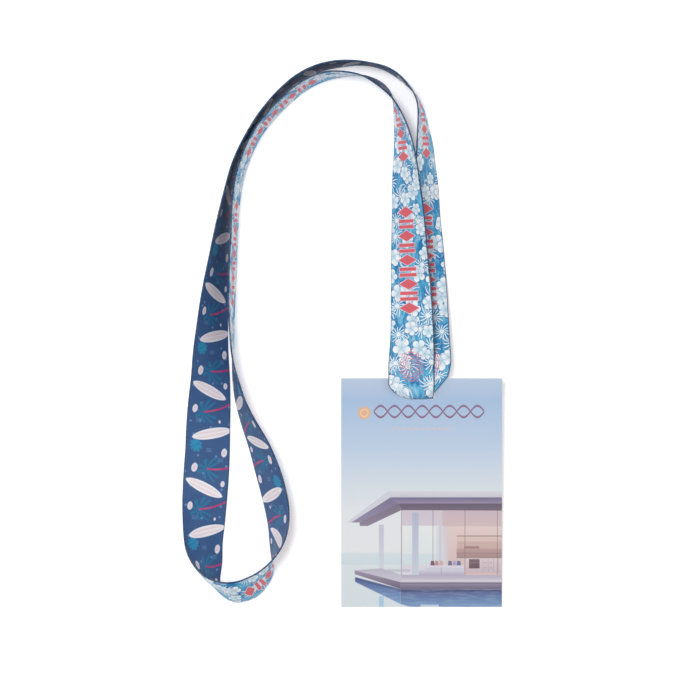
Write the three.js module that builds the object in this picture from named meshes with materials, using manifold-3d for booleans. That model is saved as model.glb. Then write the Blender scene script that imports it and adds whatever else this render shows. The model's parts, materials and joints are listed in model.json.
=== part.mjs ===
// Neck lanyard: a printed ribbon laid out as a long narrow loop with a teardrop lobe, a printed card threaded
// on the ribbon's joined ends, and a swivel snap hook that lies behind the card.
// Millimetres. X right, Y towards the top of the loop, Z up from the surface that the lanyard lies on.

import * as THREE from "three";
import Module from "manifold-3d";
import { mergeVertices } from "three/addons/utils/BufferGeometryUtils.js";

const wasm = await Module();
wasm.setup();

// ---- Driving dimensions ----

// Strap
const strapWidth = 20;
const strapThickness = 0.7;
const layerGap = 0.3; // between layers of strap, and between the strap and what it lies on
const stationStep = 3; // longest facet along the strap

// Neck: both strap ends drawn together, through the card's slot
const neckX = 33.8;
const neckWidth = 12;
const upperHeadX = 30.3; // middle of each layer where it crosses the card's head
const lowerHeadX = 37.6;
const neckSlantFrom = 2.2; // the lower layer starts to narrow this far beyond the card's head
const neckEase = 0.7; // and is down to the neck's width this far before the slot's centre
const neckRoundEnd = 0.3; // the same for the upper layer, along the neck's line
const neckDrawIn = 6; // the upper layer narrows over this length before the slot
const neckSteps = 28;
const headOverrun = 0.6; // the neck's line starts this far beyond the card's head
const neckCrown = 0.2; // and rises this much before it turns down
const wrapSteps = 10;
const neckDip = 75; // how steeply the neck dives through the slot, degrees below level
const diveStart = 1.9; // it turns down this far before the slot's centre
const diveAbove = 1.6; // straight part of the dive above the slot's centre, and below it
const diveBelow = 2.2;
const sewnFromBar = 2.6; // from the bar's axis to the first sewn stitch's layer
const sewnLength = 3.2;

// Card
const cardWidth = 70;
const cardLength = 100;
const cardThickness = 0.8;
const cardCorner = 0.4;
const slotHeight = 3.2;
const slotCornerShare = 0.3; // the slot's corner radius as a share of its height
const slotFromTop = 7.35;
const slotOffCentre = 1; // the slot's centre is this far left of the card's middle
const slotSideClearance = 0.6;
const slotY = -26.3;
const slotRise = 10; // height of the slot's centre above the table

// Swivel eye and hook
const hardwareRise = 2.1; // height of the eye's bar and of the swivel's axis above the table
const barRadius = 1;
const barFromSlot = 11;
const eyeSideClearance = 0.4;
const eyeLength = 5.4; // from the bar's axis to the boss
const bossRadius = 2;
const bossLength = 3;
const postRadius = 0.95;
const postClearance = 0.12;
const postHeadRadius = 1.7;
const postHeadThickness = 0.7;
const washerRadius = 1.9;
const washerThickness = 0.35;
const fitGap = 0.3; // between hardware pieces that touch

const hookWidth = 9.2;
const hookLength = 22;
const hookWall = 2.3;
const hookThickness = 3.2;
const hookBaseLength = 3.2;
const hookRingStart = 1.8; // the ring starts this far down the collar
const hookShoulder = 2.4;
const hookInnerShoulder = 1.2;
const pinFromSide = 1.25;
const pinFromBase = 1.6;
const mouthFromPin = 1.4;
const postStub = 0.6; // the post stops this far short of the collar's end
const mouthLength = 8.5;
const gateWidth = 1.8;
const gateThickness = 1.8;
const gateOverlap = 1.1; // how far the gate's tip reaches behind the nose
const gateSideClearance = 0.12;
const pinRadius = 0.5;
const pinClearance = 0.1;
const knuckleRadius = 1.45;
const springWire = 0.11;
const springRadius = 0.85;
const springTurns = 2.5;
const springPocket = 0.9;

const springSideGap = 0.03; // between the coil and each side of its pocket

const threadRadius = 0.16;
const threadGap = 0.06; // between the thread and the strap
const stitchCount = 9;
const stitchSideMargin = 1; // from the row's ends to the neck's edges
const stitchFirst = 0.9; // the zigzag's two sides, from the ends of the sewn length
const stitchLast = 0.4;

const cutOver = 1; // how far a cutting solid runs past what it cuts

// ---- Materials ----

function material(color, roughness, metalness) {
  return new THREE.MeshStandardMaterial({ color, roughness, metalness });
}

const ribbonFabric = material(0x7fb4d6, 0.75, 0);
const threadNylon = material(0x9fc4dc, 0.7, 0);
const cardPlastic = material(0xa9bde0, 0.35, 0);
const nickel = material(0xc9c9c6, 0.25, 1);
const springSteel = material(0x8f9194, 0.35, 1);

// ---- Solids ----

// A closed geometry as a solid that can be joined and cut.
function solid(geometry) {
  const bare = geometry.index ? geometry.toNonIndexed() : geometry.clone();
  bare.deleteAttribute("normal");
  bare.deleteAttribute("uv");
  const merged = mergeVertices(bare, 1e-5);
  const mesh = new wasm.Mesh({
    numProp: 3,
    vertProperties: new Float32Array(merged.attributes.position.array),
    triVerts: new Uint32Array(merged.index.array),
  });
  return new wasm.Manifold(mesh);
}

function geometryOf(shape) {
  const { vertProperties, triVerts } = shape.getMesh();
  const geometry = new THREE.BufferGeometry();
  geometry.setAttribute("position", new THREE.BufferAttribute(new Float32Array(vertProperties), 3));
  geometry.setIndex(new THREE.BufferAttribute(new Uint32Array(triVerts), 1));
  geometry.computeVertexNormals();
  return geometry;
}

function piece(name, geometry, finish) {
  const mesh = new THREE.Mesh(geometry, finish);
  mesh.name = name;
  return mesh;
}

// A round rod between two points.
function rod(from, to, radius, sides = 16) {
  const geometry = new THREE.CylinderGeometry(radius, radius, from.distanceTo(to), sides);
  const along = new THREE.Vector3().subVectors(to, from).normalize();
  geometry.applyQuaternion(new THREE.Quaternion().setFromUnitVectors(new THREE.Vector3(0, 1, 0), along));
  geometry.translate(...new THREE.Vector3().addVectors(from, to).multiplyScalar(0.5).toArray());
  return solid(geometry);
}

function ball(centre, radius) {
  const geometry = new THREE.SphereGeometry(radius, 12, 8);
  geometry.translate(...centre.toArray());
  return solid(geometry);
}

function block(low, high) {
  const size = new THREE.Vector3().subVectors(high, low);
  const geometry = new THREE.BoxGeometry(size.x, size.y, size.z);
  geometry.translate(...new THREE.Vector3().addVectors(low, high).multiplyScalar(0.5).toArray());
  return solid(geometry);
}

// A flat outline thickened along Z, centred on the height given.
function plate(shape, thickness, height, curveSegments = 10) {
  const geometry = new THREE.ExtrudeGeometry(shape, { depth: thickness, bevelEnabled: false, curveSegments });
  geometry.translate(0, 0, height - thickness / 2);
  return solid(geometry);
}

const vector = (x, y, z) => new THREE.Vector3(x, y, z);
const radians = THREE.MathUtils.degToRad;

// The radius at which a faceted hole clears the round it is named for.
const clearOf = (radius, sides) => radius / Math.cos(Math.PI / sides);

// ---- Card: where it lies ----

// The card's lower edge lies on the table, and the slot is held up by the neck.
const slotToFoot = cardLength - slotFromTop;
const cardTilt = Math.asin((slotRise - cardThickness / 2) / slotToFoot);
const cardTopAt = (y) => slotRise + (y - slotY) * Math.tan(cardTilt) + cardThickness / 2 / Math.cos(cardTilt);
const cardHeadY = slotY + slotFromTop * Math.cos(cardTilt);

// ---- Neck: the line midway between the two layers of strap, in the YZ plane ----

const layerPitch = strapThickness + layerGap;
const barY = slotY - barFromSlot;
const wrapRadius = barRadius + layerGap + strapThickness / 2;
const neckFloor = hardwareRise + wrapRadius + layerPitch / 2;
const headClear = layerPitch / 2 + strapThickness / 2 + layerGap;
const neckRise = cardTopAt(cardHeadY) + headClear;
const sewnEndY = barY + sewnFromBar;
const dipX = Math.cos(radians(neckDip));
const dipZ = Math.sin(radians(neckDip));

// Its points under the card are chosen by hand.
const neckRoute = new THREE.CatmullRomCurve3(
  [
    vector(0, cardHeadY + headOverrun, neckRise),
    vector(0, cardHeadY - 3.6, neckRise + neckCrown * 0.75),
    vector(0, slotY + diveStart, neckRise + neckCrown),
    vector(0, slotY + diveAbove * dipX + 0.1, slotRise + diveAbove * dipZ),
    vector(0, slotY, slotRise),
    vector(0, slotY - diveBelow * dipX, slotRise - diveBelow * dipZ),
    vector(0, slotY - 1.7, slotRise - 4.2),
    vector(0, slotY - 3.5, neckFloor + 0.4),
    vector(0, slotY - 5.4, neckFloor),
    vector(0, sewnEndY, neckFloor),
  ],
  false,
  "centripetal",
);

// How much of the neck's line runs before the slot's centre.
const neckSamples = neckRoute.getSpacedPoints(400);
const slotShare = neckSamples.findIndex((point) => point.z < slotRise) / 400;
const slotRun = neckRoute.getLength() * slotShare;

// How far drawn in the neck is, from 0 at the card's head to 1 at the slot. The lower layer's edges slant
// evenly, and the upper layer stays wide and then rounds off.
function slantedEase(point) {
  const narrowFrom = cardHeadY + neckSlantFrom;
  return THREE.MathUtils.clamp((narrowFrom - point.y) / (narrowFrom - slotY - neckEase), 0, 1);
}

function roundedEase(point, run) {
  return THREE.MathUtils.clamp(1 - (slotRun - run - neckRoundEnd) / neckDrawIn, 0, 1) ** 2;
}

// The neck's stations for one layer: +1 is the upper layer, -1 the lower one.
function neckStations(layer, headCentre, easeAt) {
  const found = [];
  for (let i = 0; i <= neckSteps; i += 1) {
    const point = neckRoute.getPointAt(i / neckSteps);
    const along = neckRoute.getTangentAt(i / neckSteps);
    const normal = vector(0, along.z, -along.y);
    const place = point.clone().addScaledVector(normal, (layer * layerPitch) / 2);
    const ease = easeAt(point, (neckRoute.getLength() * i) / neckSteps);
    const x = THREE.MathUtils.lerp(headCentre, neckX, ease);
    const width = THREE.MathUtils.lerp(strapWidth, neckWidth, ease);
    found.push({ x, y: place.y, level: place.z, width, face: layer });
  }
  return found;
}

// ---- Strap ----

// Stations along the strap: x and y of its middle line, lean in degrees from upright (positive leans the
// upper edge to the left of the way the strap runs), and how far the lower edge is off the table.
const raisedOver = (y) => cardTopAt(y) + layerGap;
const rise = (x, y, lean, lift = 0) => ({ x, y, lean, lift });

// A station where the strap turns over: seen from above, its upper edge is this far right of its lower one,
// and this far up the sheet from it.
const turn = (x, y, right, ahead) => ({ x, y, right, ahead, lift: 0 });

const frontStrap = [
  rise(30.3, -14, -87, raisedOver(cardHeadY) + layerPitch - 0.15),
  rise(30.7, -2.4, -72, 10.9),
  rise(30.4, 15, -63, 7.9),
  rise(29.6, 34, -53.5, 7.2),
  rise(28.9, 52.5, -44, 9),
  rise(28, 67, -36, 7.2),
  rise(27.3, 80, -26, 3.6),
  rise(26, 89, -18, 1.2),
  rise(24.5, 95.5, -10, 0.2),
  rise(22.7, 101.5, 0),
];

const innerArc = [
  rise(20.2, 105.4, 5),
  rise(17.8, 107.8, 7.5),
  rise(14.6, 110, 6),
  rise(11.1, 111.7, 3),
  rise(6.7, 112.9, 0),
  rise(-0.6, 113, -6),
  rise(-7.4, 112, -10),
  rise(-15, 108.7, -11),
  rise(-22.4, 103.3, -11.5),
  rise(-30.2, 95.4, -11),
  rise(-36.7, 87, -11),
];

const innerRun = [
  rise(-41.6, 76.7, -10.5),
  rise(-44.5, 67, -10),
  rise(-46, 56, -8.5),
  rise(-46.6, 43, -8),
  rise(-47.3, 28, -8.5),
  rise(-47.7, 13, -7),
  rise(-47.6, 0, -4),
  rise(-47.3, -10, 0),
];

const lobe = [
  rise(-45.7, -21, 8),
  rise(-43.5, -30, 13),
  rise(-40, -39, 19),
  rise(-36.1, -47.6, 26),
  rise(-32.4, -58, 32),
  rise(-29.6, -67.6, 33.5),
  rise(-27.8, -76.3, 31.5),
  rise(-27.4, -85, 25),
  rise(-28.7, -92.8, 14),
  rise(-30.2, -98, 0),
  rise(-32, -102.8, -15),
  rise(-35.4, -107, -23),
  rise(-39.8, -110.2, -30),
  turn(-44.8, -111.7, 1.5, 10),
  turn(-49.6, -111.2, 0, 7.4),
  turn(-53.2, -108.9, -2, 4),
  turn(-55.8, -105.9, -5.6, 1.9),
  turn(-57.5, -102.3, -10.5, 1),
  turn(-58.8, -97.6, -14.2, 0.4),
];

const outerRun = [
  rise(-59.8, -92, 54),
  rise(-59.8, -81.5, 66),
  rise(-59.4, -71, 76),
  rise(-58.8, -60.7, 81),
  rise(-58.2, -50.2, 75),
  rise(-57.9, -39.8, 72),
  rise(-57.4, -29.3, 66),
  rise(-56.9, -18.9, 57),
  rise(-56.8, -8.5, 50),
  rise(-56.2, 2, 43),
  rise(-54.9, 17.6, 35),
  rise(-53.2, 33.3, 25),
  rise(-51.3, 49, 16),
  rise(-49, 62.8, 9),
  rise(-46.4, 73.7, 6),
];

const outerArc = [
  rise(-40.9, 85.2, 7),
  rise(-34.5, 95.5, 7),
  rise(-25.8, 105.6, 7),
  rise(-17.3, 112.2, 8),
  rise(-8.9, 115.9, 8),
  rise(-0.5, 117.5, 7),
  rise(7.2, 117.8, 4),
  rise(13.3, 117.1, 2),
  rise(18.9, 115.5, 3.5),
  rise(23.3, 113.1, 3.5),
  rise(27.2, 109.8, 2),
  rise(31, 105.6, -1),
];

const backStrap = [
  rise(33.6, 100.7, -4),
  rise(34.8, 95.4, -9.5),
  rise(35.4, 89.8, -14),
  rise(36.1, 82, -21),
  rise(36.4, 75, -24.5),
  rise(36.4, 65, -33.5),
  rise(35.1, 52, -51),
  rise(35.1, 36.7, -68.5, 0.6),
  rise(36.1, 19.3, -77, 3.2),
  rise(36.9, 0, -85, 8.2),
  rise(37.6, -12, -90, 11.2),
];

// The return of the lower layer round the eye's bar and back under itself.
function wrapStations() {
  const found = [];
  for (let i = 0; i <= wrapSteps; i += 1) {
    const turned = Math.PI / 2 + (Math.PI * i) / wrapSteps;
    found.push({
      x: neckX,
      y: barY + wrapRadius * Math.cos(turned),
      level: hardwareRise + wrapRadius * Math.sin(turned),
      width: neckWidth,
      face: -1,
    });
  }
  const sewnLevel = neckFloor - layerPitch * 1.5;
  const under = [
    [barY + 0.8, hardwareRise - wrapRadius + 0.1],
    [(barY + sewnEndY) / 2 + 0.3, (hardwareRise - wrapRadius + sewnLevel) / 2],
    [sewnEndY, sewnLevel - 0.12],
    [sewnEndY + 0.6, sewnLevel],
    [sewnEndY + sewnLength, sewnLevel],
  ];
  under.forEach(([y, level]) => found.push({ x: neckX, y, level, width: neckWidth, face: -1 }));
  return found;
}

const upperLayer = neckStations(1, upperHeadX, roundedEase).reverse();
const lowerLayer = neckStations(-1, lowerHeadX, slantedEase);

const stations = [
  ...upperLayer,
  ...frontStrap,
  ...innerArc,
  ...innerRun,
  ...lobe,
  ...outerRun,
  ...outerArc,
  ...backStrap,
  ...lowerLayer,
  ...wrapStations(),
];

// Half the strap's width at a station, as a vector from its middle to its upper edge.
function halfAcross(index) {
  const station = stations[index];
  if (station.width !== undefined) {
    return vector((station.face * station.width) / 2, 0, 0);
  }
  if (station.right !== undefined) {
    const height = Math.sqrt(strapWidth ** 2 - station.right ** 2 - station.ahead ** 2);
    return vector(station.right / 2, station.ahead / 2, height / 2);
  }
  const before = stations[Math.max(index - 1, 0)];
  const after = stations[Math.min(index + 1, stations.length - 1)];
  const left = vector(before.y - after.y, after.x - before.x, 0).normalize();
  const lean = radians(station.lean);
  return left.multiplyScalar(Math.sin(lean)).setZ(Math.cos(lean)).multiplyScalar(strapWidth / 2);
}

// The level of a standing station's middle line, with its lower edge at its lift.
function middleLevel(station, across) {
  if (station.level !== undefined) {
    return station.level;
  }
  const flatness = Math.hypot(across.x, across.y) / across.length();
  return station.lift + Math.abs(across.z) + (flatness * strapThickness) / 2;
}

// The strap as a closed band of four-cornered sections.
function strapGeometry() {
  const acrossAt = stations.map((station, index) => halfAcross(index));
  const middles = stations.map((station, index) => {
    return vector(station.x, station.y, middleLevel(station, acrossAt[index]));
  });
  const middleCurve = new THREE.CatmullRomCurve3(middles, false, "centripetal");
  const acrossCurve = new THREE.CatmullRomCurve3(acrossAt, false, "catmullrom", 0.5);
  const spans = middles.length - 1;
  const centres = [];
  const halves = [];
  middles.slice(1).forEach((next, span) => {
    const steps = Math.max(1, Math.ceil(next.distanceTo(middles[span]) / stationStep));
    for (let i = span === 0 ? 0 : 1; i <= steps; i += 1) {
      const t = Math.min((span + i / steps) / spans, 1);
      const share = i / steps;
      const halfWidth = THREE.MathUtils.lerp(acrossAt[span].length(), acrossAt[span + 1].length(), share);
      centres.push(middleCurve.getPoint(t));
      halves.push(acrossCurve.getPoint(t).setLength(halfWidth));
    }
  });
  const positions = [];
  centres.forEach((centre, index) => {
    const before = centres[Math.max(index - 1, 0)];
    const after = centres[Math.min(index + 1, centres.length - 1)];
    const along = new THREE.Vector3().subVectors(after, before);
    const normal = new THREE.Vector3().crossVectors(along, halves[index]).setLength(strapThickness / 2);
    [
      [-1, -1],
      [1, -1],
      [1, 1],
      [-1, 1],
    ].forEach(([side, face]) => {
      const corner = centre.clone().addScaledVector(halves[index], side).addScaledVector(normal, face);
      positions.push(...corner.toArray());
    });
  });
  const indices = [];
  for (let section = 0; section < centres.length - 1; section += 1) {
    for (let corner = 0; corner < 4; corner += 1) {
      const a = section * 4 + corner;
      const b = section * 4 + ((corner + 1) % 4);
      indices.push(a, b, b + 4, a, b + 4, a + 4);
    }
  }
  const last = (centres.length - 1) * 4;
  indices.push(0, 2, 1, 0, 3, 2, last, last + 1, last + 2, last, last + 2, last + 3);
  const geometry = new THREE.BufferGeometry();
  geometry.setAttribute("position", new THREE.Float32BufferAttribute(positions, 3));
  geometry.setIndex(indices);
  geometry.computeVertexNormals();
  return geometry;
}

// ---- Bartack: one zigzag of thread above the sewn layers and one below ----

function bartackGeometry(level) {
  const halfRow = neckWidth / 2 - stitchSideMargin;
  const rowY = [sewnEndY + stitchFirst, sewnEndY + sewnLength - stitchLast];
  const corners = [];
  for (let i = 0; i <= stitchCount; i += 1) {
    const x = neckX - halfRow + (2 * halfRow * i) / stitchCount;
    corners.push(vector(x, rowY[i % 2], level));
  }
  const curve = new THREE.CatmullRomCurve3(corners, false, "catmullrom", 0.1);
  const section = new THREE.Shape();
  section.absarc(0, 0, threadRadius, 0, 2 * Math.PI, false);
  return new THREE.ExtrudeGeometry(section, {
    steps: stitchCount * 6,
    curveSegments: 3,
    extrudePath: curve,
  });
}

// ---- Card ----

function roundedOutline(left, bottom, right, top, corner) {
  const outline = new THREE.Shape();
  outline.moveTo(left + corner, bottom);
  outline.lineTo(right - corner, bottom);
  outline.absarc(right - corner, bottom + corner, corner, -Math.PI / 2, 0, false);
  outline.lineTo(right, top - corner);
  outline.absarc(right - corner, top - corner, corner, 0, Math.PI / 2, false);
  outline.lineTo(left + corner, top);
  outline.absarc(left + corner, top - corner, corner, Math.PI / 2, Math.PI, false);
  outline.lineTo(left, bottom + corner);
  outline.absarc(left + corner, bottom + corner, corner, Math.PI, Math.PI * 1.5, false);
  return outline;
}

// The card lies in its own plane, with the slot's centre at its origin, and its group tilts it.
function cardPiece() {
  const halfCard = cardWidth / 2;
  const halfSlot = neckWidth / 2 + slotSideClearance;
  const left = slotOffCentre - halfCard;
  const outline = roundedOutline(left, -slotToFoot, left + cardWidth, slotFromTop, cardCorner);
  const body = plate(outline, cardThickness, 0, 5);
  const slotCorner = slotHeight * slotCornerShare;
  const slotOutline = roundedOutline(-halfSlot, -slotHeight / 2, halfSlot, slotHeight / 2, slotCorner);
  const slot = plate(slotOutline, cardThickness * 3, 0, 4);
  const card = new THREE.Group();
  card.add(piece("card", geometryOf(body.subtract(slot)), cardPlastic));
  card.position.set(neckX, slotY, slotRise);
  card.rotation.x = cardTilt;
  return card;
}

// ---- Eye, post and washer ----

const bossStartY = barY - eyeLength;
const bossEndY = bossStartY - bossLength;
const axisPoint = (y) => vector(neckX, y, hardwareRise);
const postClear = clearOf(postRadius + postClearance, 24);

function eyePiece() {
  const reach = neckWidth / 2 + eyeSideClearance + barRadius;
  const clearOfWrap = wrapRadius + strapThickness / 2 + eyeSideClearance;
  const corner = (side) => vector(neckX + side * reach, barY, hardwareRise);
  const elbow = (side) => vector(neckX + side * reach, barY - clearOfWrap, hardwareRise);
  const shoulder = (side) => vector(neckX + side * (bossRadius - 0.1), bossStartY - bossLength / 2, hardwareRise);
  let eye = rod(corner(-1), corner(1), barRadius, 12);
  [-1, 1].forEach((side) => {
    eye = eye.add(ball(corner(side), barRadius)).add(rod(corner(side), elbow(side), barRadius, 12));
    eye = eye.add(ball(elbow(side), barRadius)).add(rod(elbow(side), shoulder(side), barRadius, 12));
  });
  const headRoom = block(
    vector(neckX - washerRadius - fitGap, bossStartY, hardwareRise - bossRadius - cutOver),
    vector(neckX + washerRadius + fitGap, barY - barRadius - 0.1, hardwareRise + bossRadius + cutOver),
  );
  eye = eye.add(rod(axisPoint(bossStartY), axisPoint(bossEndY), bossRadius, 24)).subtract(headRoom);
  const bore = rod(axisPoint(bossStartY + cutOver), axisPoint(bossEndY - cutOver), postClear, 24);
  return piece("swivel_eye", geometryOf(eye.subtract(bore)), nickel);
}

const washerNearY = bossStartY + fitGap / 2;
const headNearY = washerNearY + washerThickness + fitGap / 2;
const hookStartY = bossEndY - fitGap;
const postEndY = hookStartY - hookBaseLength + postStub;

function postPiece() {
  const head = rod(axisPoint(headNearY), axisPoint(headNearY + postHeadThickness), postHeadRadius, 24);
  const shank = rod(axisPoint(headNearY + postHeadThickness / 2), axisPoint(postEndY), postRadius, 24);
  return piece("swivel_post", geometryOf(head.add(shank)), nickel);
}

function washerPiece() {
  const disc = rod(axisPoint(washerNearY), axisPoint(washerNearY + washerThickness), washerRadius, 24);
  const hole = rod(axisPoint(washerNearY - cutOver), axisPoint(washerNearY + cutOver), postClear, 24);
  return piece("swivel_washer", geometryOf(disc.subtract(hole)), nickel);
}

// ---- Hook: outlines in its own plane, u across to the right and v away from the eye ----

const hookPoint = (u, v) => vector(neckX + u, hookStartY - v, 0);
const halfHook = hookWidth / 2;
const pivotU = halfHook - pinFromSide;
const pivotV = hookBaseLength + pinFromBase;
const mouthStart = pivotV + mouthFromPin;
const mouthEnd = mouthStart + mouthLength;
const innerStart = hookBaseLength + hookWall;
const forkGap = gateThickness + 2 * gateSideClearance;

// A loop with round lower end and rounded shoulders, drawn in the XY plane.
function loopOutline(halfWidth, start, end, shoulder) {
  const outline = new THREE.Shape();
  const at = (u, v) => [neckX + u, hookStartY - v];
  outline.moveTo(...at(-halfWidth, end - halfWidth));
  outline.absarc(...at(0, end - halfWidth), halfWidth, Math.PI, 2 * Math.PI, false);
  outline.lineTo(...at(halfWidth, start + shoulder));
  outline.absarc(...at(halfWidth - shoulder, start + shoulder), shoulder, 0, Math.PI / 2, false);
  outline.lineTo(...at(-halfWidth + shoulder, start));
  outline.absarc(...at(-halfWidth + shoulder, start + shoulder), shoulder, Math.PI / 2, Math.PI, false);
  return outline;
}

// An upright block over a range of u and v.
function hookBlock(fromU, toU, fromV, toV, thickness) {
  const low = hookPoint(fromU, toV).setZ(hardwareRise - thickness / 2);
  const high = hookPoint(toU, fromV).setZ(hardwareRise + thickness / 2);
  return block(low, high);
}

const pinFrom = hookPoint(pivotU, pivotV).setZ(hardwareRise - hookThickness / 2);
const pinTo = hookPoint(pivotU, pivotV).setZ(hardwareRise + hookThickness / 2);
const holeRise = vector(0, 0, hookThickness);

function hookPiece() {
  const ring = loopOutline(halfHook, hookRingStart, hookLength, hookShoulder);
  const outer = plate(ring, hookThickness, hardwareRise, 12);
  const inner = plate(
    loopOutline(halfHook - hookWall, innerStart, hookLength - hookWall, hookInnerShoulder),
    hookThickness * 2,
    hardwareRise,
    10,
  );
  const collar = rod(axisPoint(hookStartY), axisPoint(hookStartY - hookBaseLength), hookThickness / 2, 20);
  const through = hookThickness * 2;
  const mouth = hookBlock(halfHook - hookWall - 0.4, halfHook + cutOver, mouthStart, mouthEnd, through);
  const noseRelief = hookBlock(0, pivotU + 0.1, mouthEnd - 0.1, mouthEnd + gateOverlap + fitGap, through);
  const forkU = pivotU - knuckleRadius - fitGap;
  const fork = hookBlock(forkU, halfHook + cutOver, pivotV - knuckleRadius - fitGap, mouthEnd, forkGap);
  const postHole = rod(
    axisPoint(hookStartY + cutOver),
    axisPoint(postEndY - fitGap),
    postClear,
    24,
  );
  const pinHole = rod(
    pinFrom.clone().sub(holeRise),
    pinTo.clone().add(holeRise),
    clearOf(pinRadius + pinClearance, 16),
    16,
  );
  const body = outer
    .subtract(inner)
    .add(collar)
    .subtract(mouth)
    .subtract(noseRelief)
    .subtract(fork)
    .subtract(postHole)
    .subtract(pinHole);
  return piece("hook_body", geometryOf(body), nickel);
}

function gatePiece() {
  const tipV = mouthEnd + gateOverlap;
  const outerU = pivotU + gateWidth / 2;
  const innerU = pivotU - gateWidth / 2;
  const noseU = pivotU - 0.2;
  const corners = [
    [outerU, pivotV],
    [outerU, mouthEnd - fitGap],
    [noseU, mouthEnd - fitGap],
    [noseU - 0.1, tipV],
    [innerU - 0.2, tipV],
    [innerU, mouthEnd - 3],
    [innerU, pivotV],
  ];
  const outline = new THREE.Shape(corners.map(([u, v]) => new THREE.Vector2(neckX + u, hookStartY - v)));
  const arm = plate(outline, gateThickness, hardwareRise);
  const half = gateThickness / 2;
  const knuckleFrom = hookPoint(pivotU, pivotV).setZ(hardwareRise - half);
  const knuckleTo = hookPoint(pivotU, pivotV).setZ(hardwareRise + half);
  const knuckle = rod(knuckleFrom, knuckleTo, knuckleRadius, 20);
  const hole = rod(
    pinFrom.clone().sub(holeRise),
    pinTo.clone().add(holeRise),
    clearOf(pinRadius + pinClearance, 16),
    16,
  );
  const pocketReach = springRadius + springWire + 0.2;
  const pocket = hookBlock(
    pivotU - knuckleRadius - cutOver,
    pivotU + knuckleRadius + cutOver,
    pivotV - knuckleRadius - cutOver,
    pivotV + pocketReach,
    springPocket,
  );
  return piece("gate", geometryOf(knuckle.add(arm).subtract(hole).subtract(pocket)), nickel);
}

function pinPiece() {
  return piece("gate_pin", geometryOf(rod(pinFrom, pinTo, pinRadius, 16)), nickel);
}

// The return spring's coil round the gate's pin.
function springPiece() {
  const count = Math.round(springTurns * 14);
  const height = springPocket - 2 * (springWire + springSideGap);
  const points = [];
  for (let i = 0; i <= count; i += 1) {
    const turn = (2 * Math.PI * springTurns * i) / count;
    const place = hookPoint(pivotU + springRadius * Math.cos(turn), pivotV + springRadius * Math.sin(turn));
    points.push(place.setZ(hardwareRise - height / 2 + (height * i) / count));
  }
  const section = new THREE.Shape();
  section.absarc(0, 0, springWire, 0, 2 * Math.PI, false);
  const geometry = new THREE.ExtrudeGeometry(section, {
    steps: count,
    curveSegments: 3,
    extrudePath: new THREE.CatmullRomCurve3(points),
  });
  return piece("gate_spring", geometry, springSteel);
}

// ---- Assembly ----

const lanyard = new THREE.Group();
const threadSeat = strapThickness / 2 + threadGap + threadRadius;
const sewnTop = neckFloor + layerPitch / 2 + threadSeat;
const sewnUnder = neckFloor - layerPitch * 1.5 - threadSeat;
lanyard.add(piece("strap", strapGeometry(), ribbonFabric));
lanyard.add(piece("bartack_upper", bartackGeometry(sewnTop), threadNylon));
lanyard.add(piece("bartack_under", bartackGeometry(sewnUnder), threadNylon));
lanyard.add(cardPiece());
lanyard.add(eyePiece(), washerPiece(), postPiece(), hookPiece(), gatePiece(), pinPiece(), springPiece());

// The part's origin is the middle of its footprint, on the table.
lanyard.updateMatrixWorld(true);
const extent = new THREE.Box3().setFromObject(lanyard, true);
lanyard.position.set(-(extent.min.x + extent.max.x) / 2, -(extent.min.y + extent.max.y) / 2, -extent.min.z);

export default lanyard;
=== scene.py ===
"""Neck lanyard: a ribbon printed on both faces, a printed card, and the swivel snap hook behind the card.

Shapes are worked out in millimetres in the ribbon's drawing frame and placed by the eye's bar, which the
ribbon's end wraps round. Meshes are then written in metres.
"""

import json
import logging
import math
from collections.abc import Callable
from dataclasses import dataclass
from enum import Enum

import bmesh
import bpy
import numpy as np
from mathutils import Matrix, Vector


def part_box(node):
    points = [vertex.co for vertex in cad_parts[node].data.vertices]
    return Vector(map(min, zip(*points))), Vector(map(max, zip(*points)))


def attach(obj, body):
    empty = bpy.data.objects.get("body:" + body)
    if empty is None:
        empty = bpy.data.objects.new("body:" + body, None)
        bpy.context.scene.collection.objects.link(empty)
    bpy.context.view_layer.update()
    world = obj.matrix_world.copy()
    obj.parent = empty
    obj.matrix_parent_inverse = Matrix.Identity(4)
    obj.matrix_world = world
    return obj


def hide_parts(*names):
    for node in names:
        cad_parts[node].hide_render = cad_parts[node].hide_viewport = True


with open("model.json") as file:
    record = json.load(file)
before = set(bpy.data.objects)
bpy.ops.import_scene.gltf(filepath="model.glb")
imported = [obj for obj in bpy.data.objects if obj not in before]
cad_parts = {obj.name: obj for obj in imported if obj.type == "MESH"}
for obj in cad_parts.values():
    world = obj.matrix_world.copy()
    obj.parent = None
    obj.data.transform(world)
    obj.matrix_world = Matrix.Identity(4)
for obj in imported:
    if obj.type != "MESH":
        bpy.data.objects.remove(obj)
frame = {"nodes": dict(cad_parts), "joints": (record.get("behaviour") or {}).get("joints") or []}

log = logging.getLogger("lanyard")
MM = 0.001


# ---------------------------------------------------------------- shader expressions


def ink(red: float, green: float, blue: float) -> tuple[float, float, float, float]:
    """A printed colour given as display values of 0 to 255, as linear light: the display curve undone.

    Args:
        red: Red, 0 to 255.
        green: Green, 0 to 255.
        blue: Blue, 0 to 255.

    Returns:
        The colour, opaque.
    """
    shares = [value / 255 for value in (red, green, blue)]
    linear = [share / 12.92 if share <= 0.04045 else ((share + 0.055) / 1.055) ** 2.4 for share in shares]
    return (*linear, 1.0)


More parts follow.
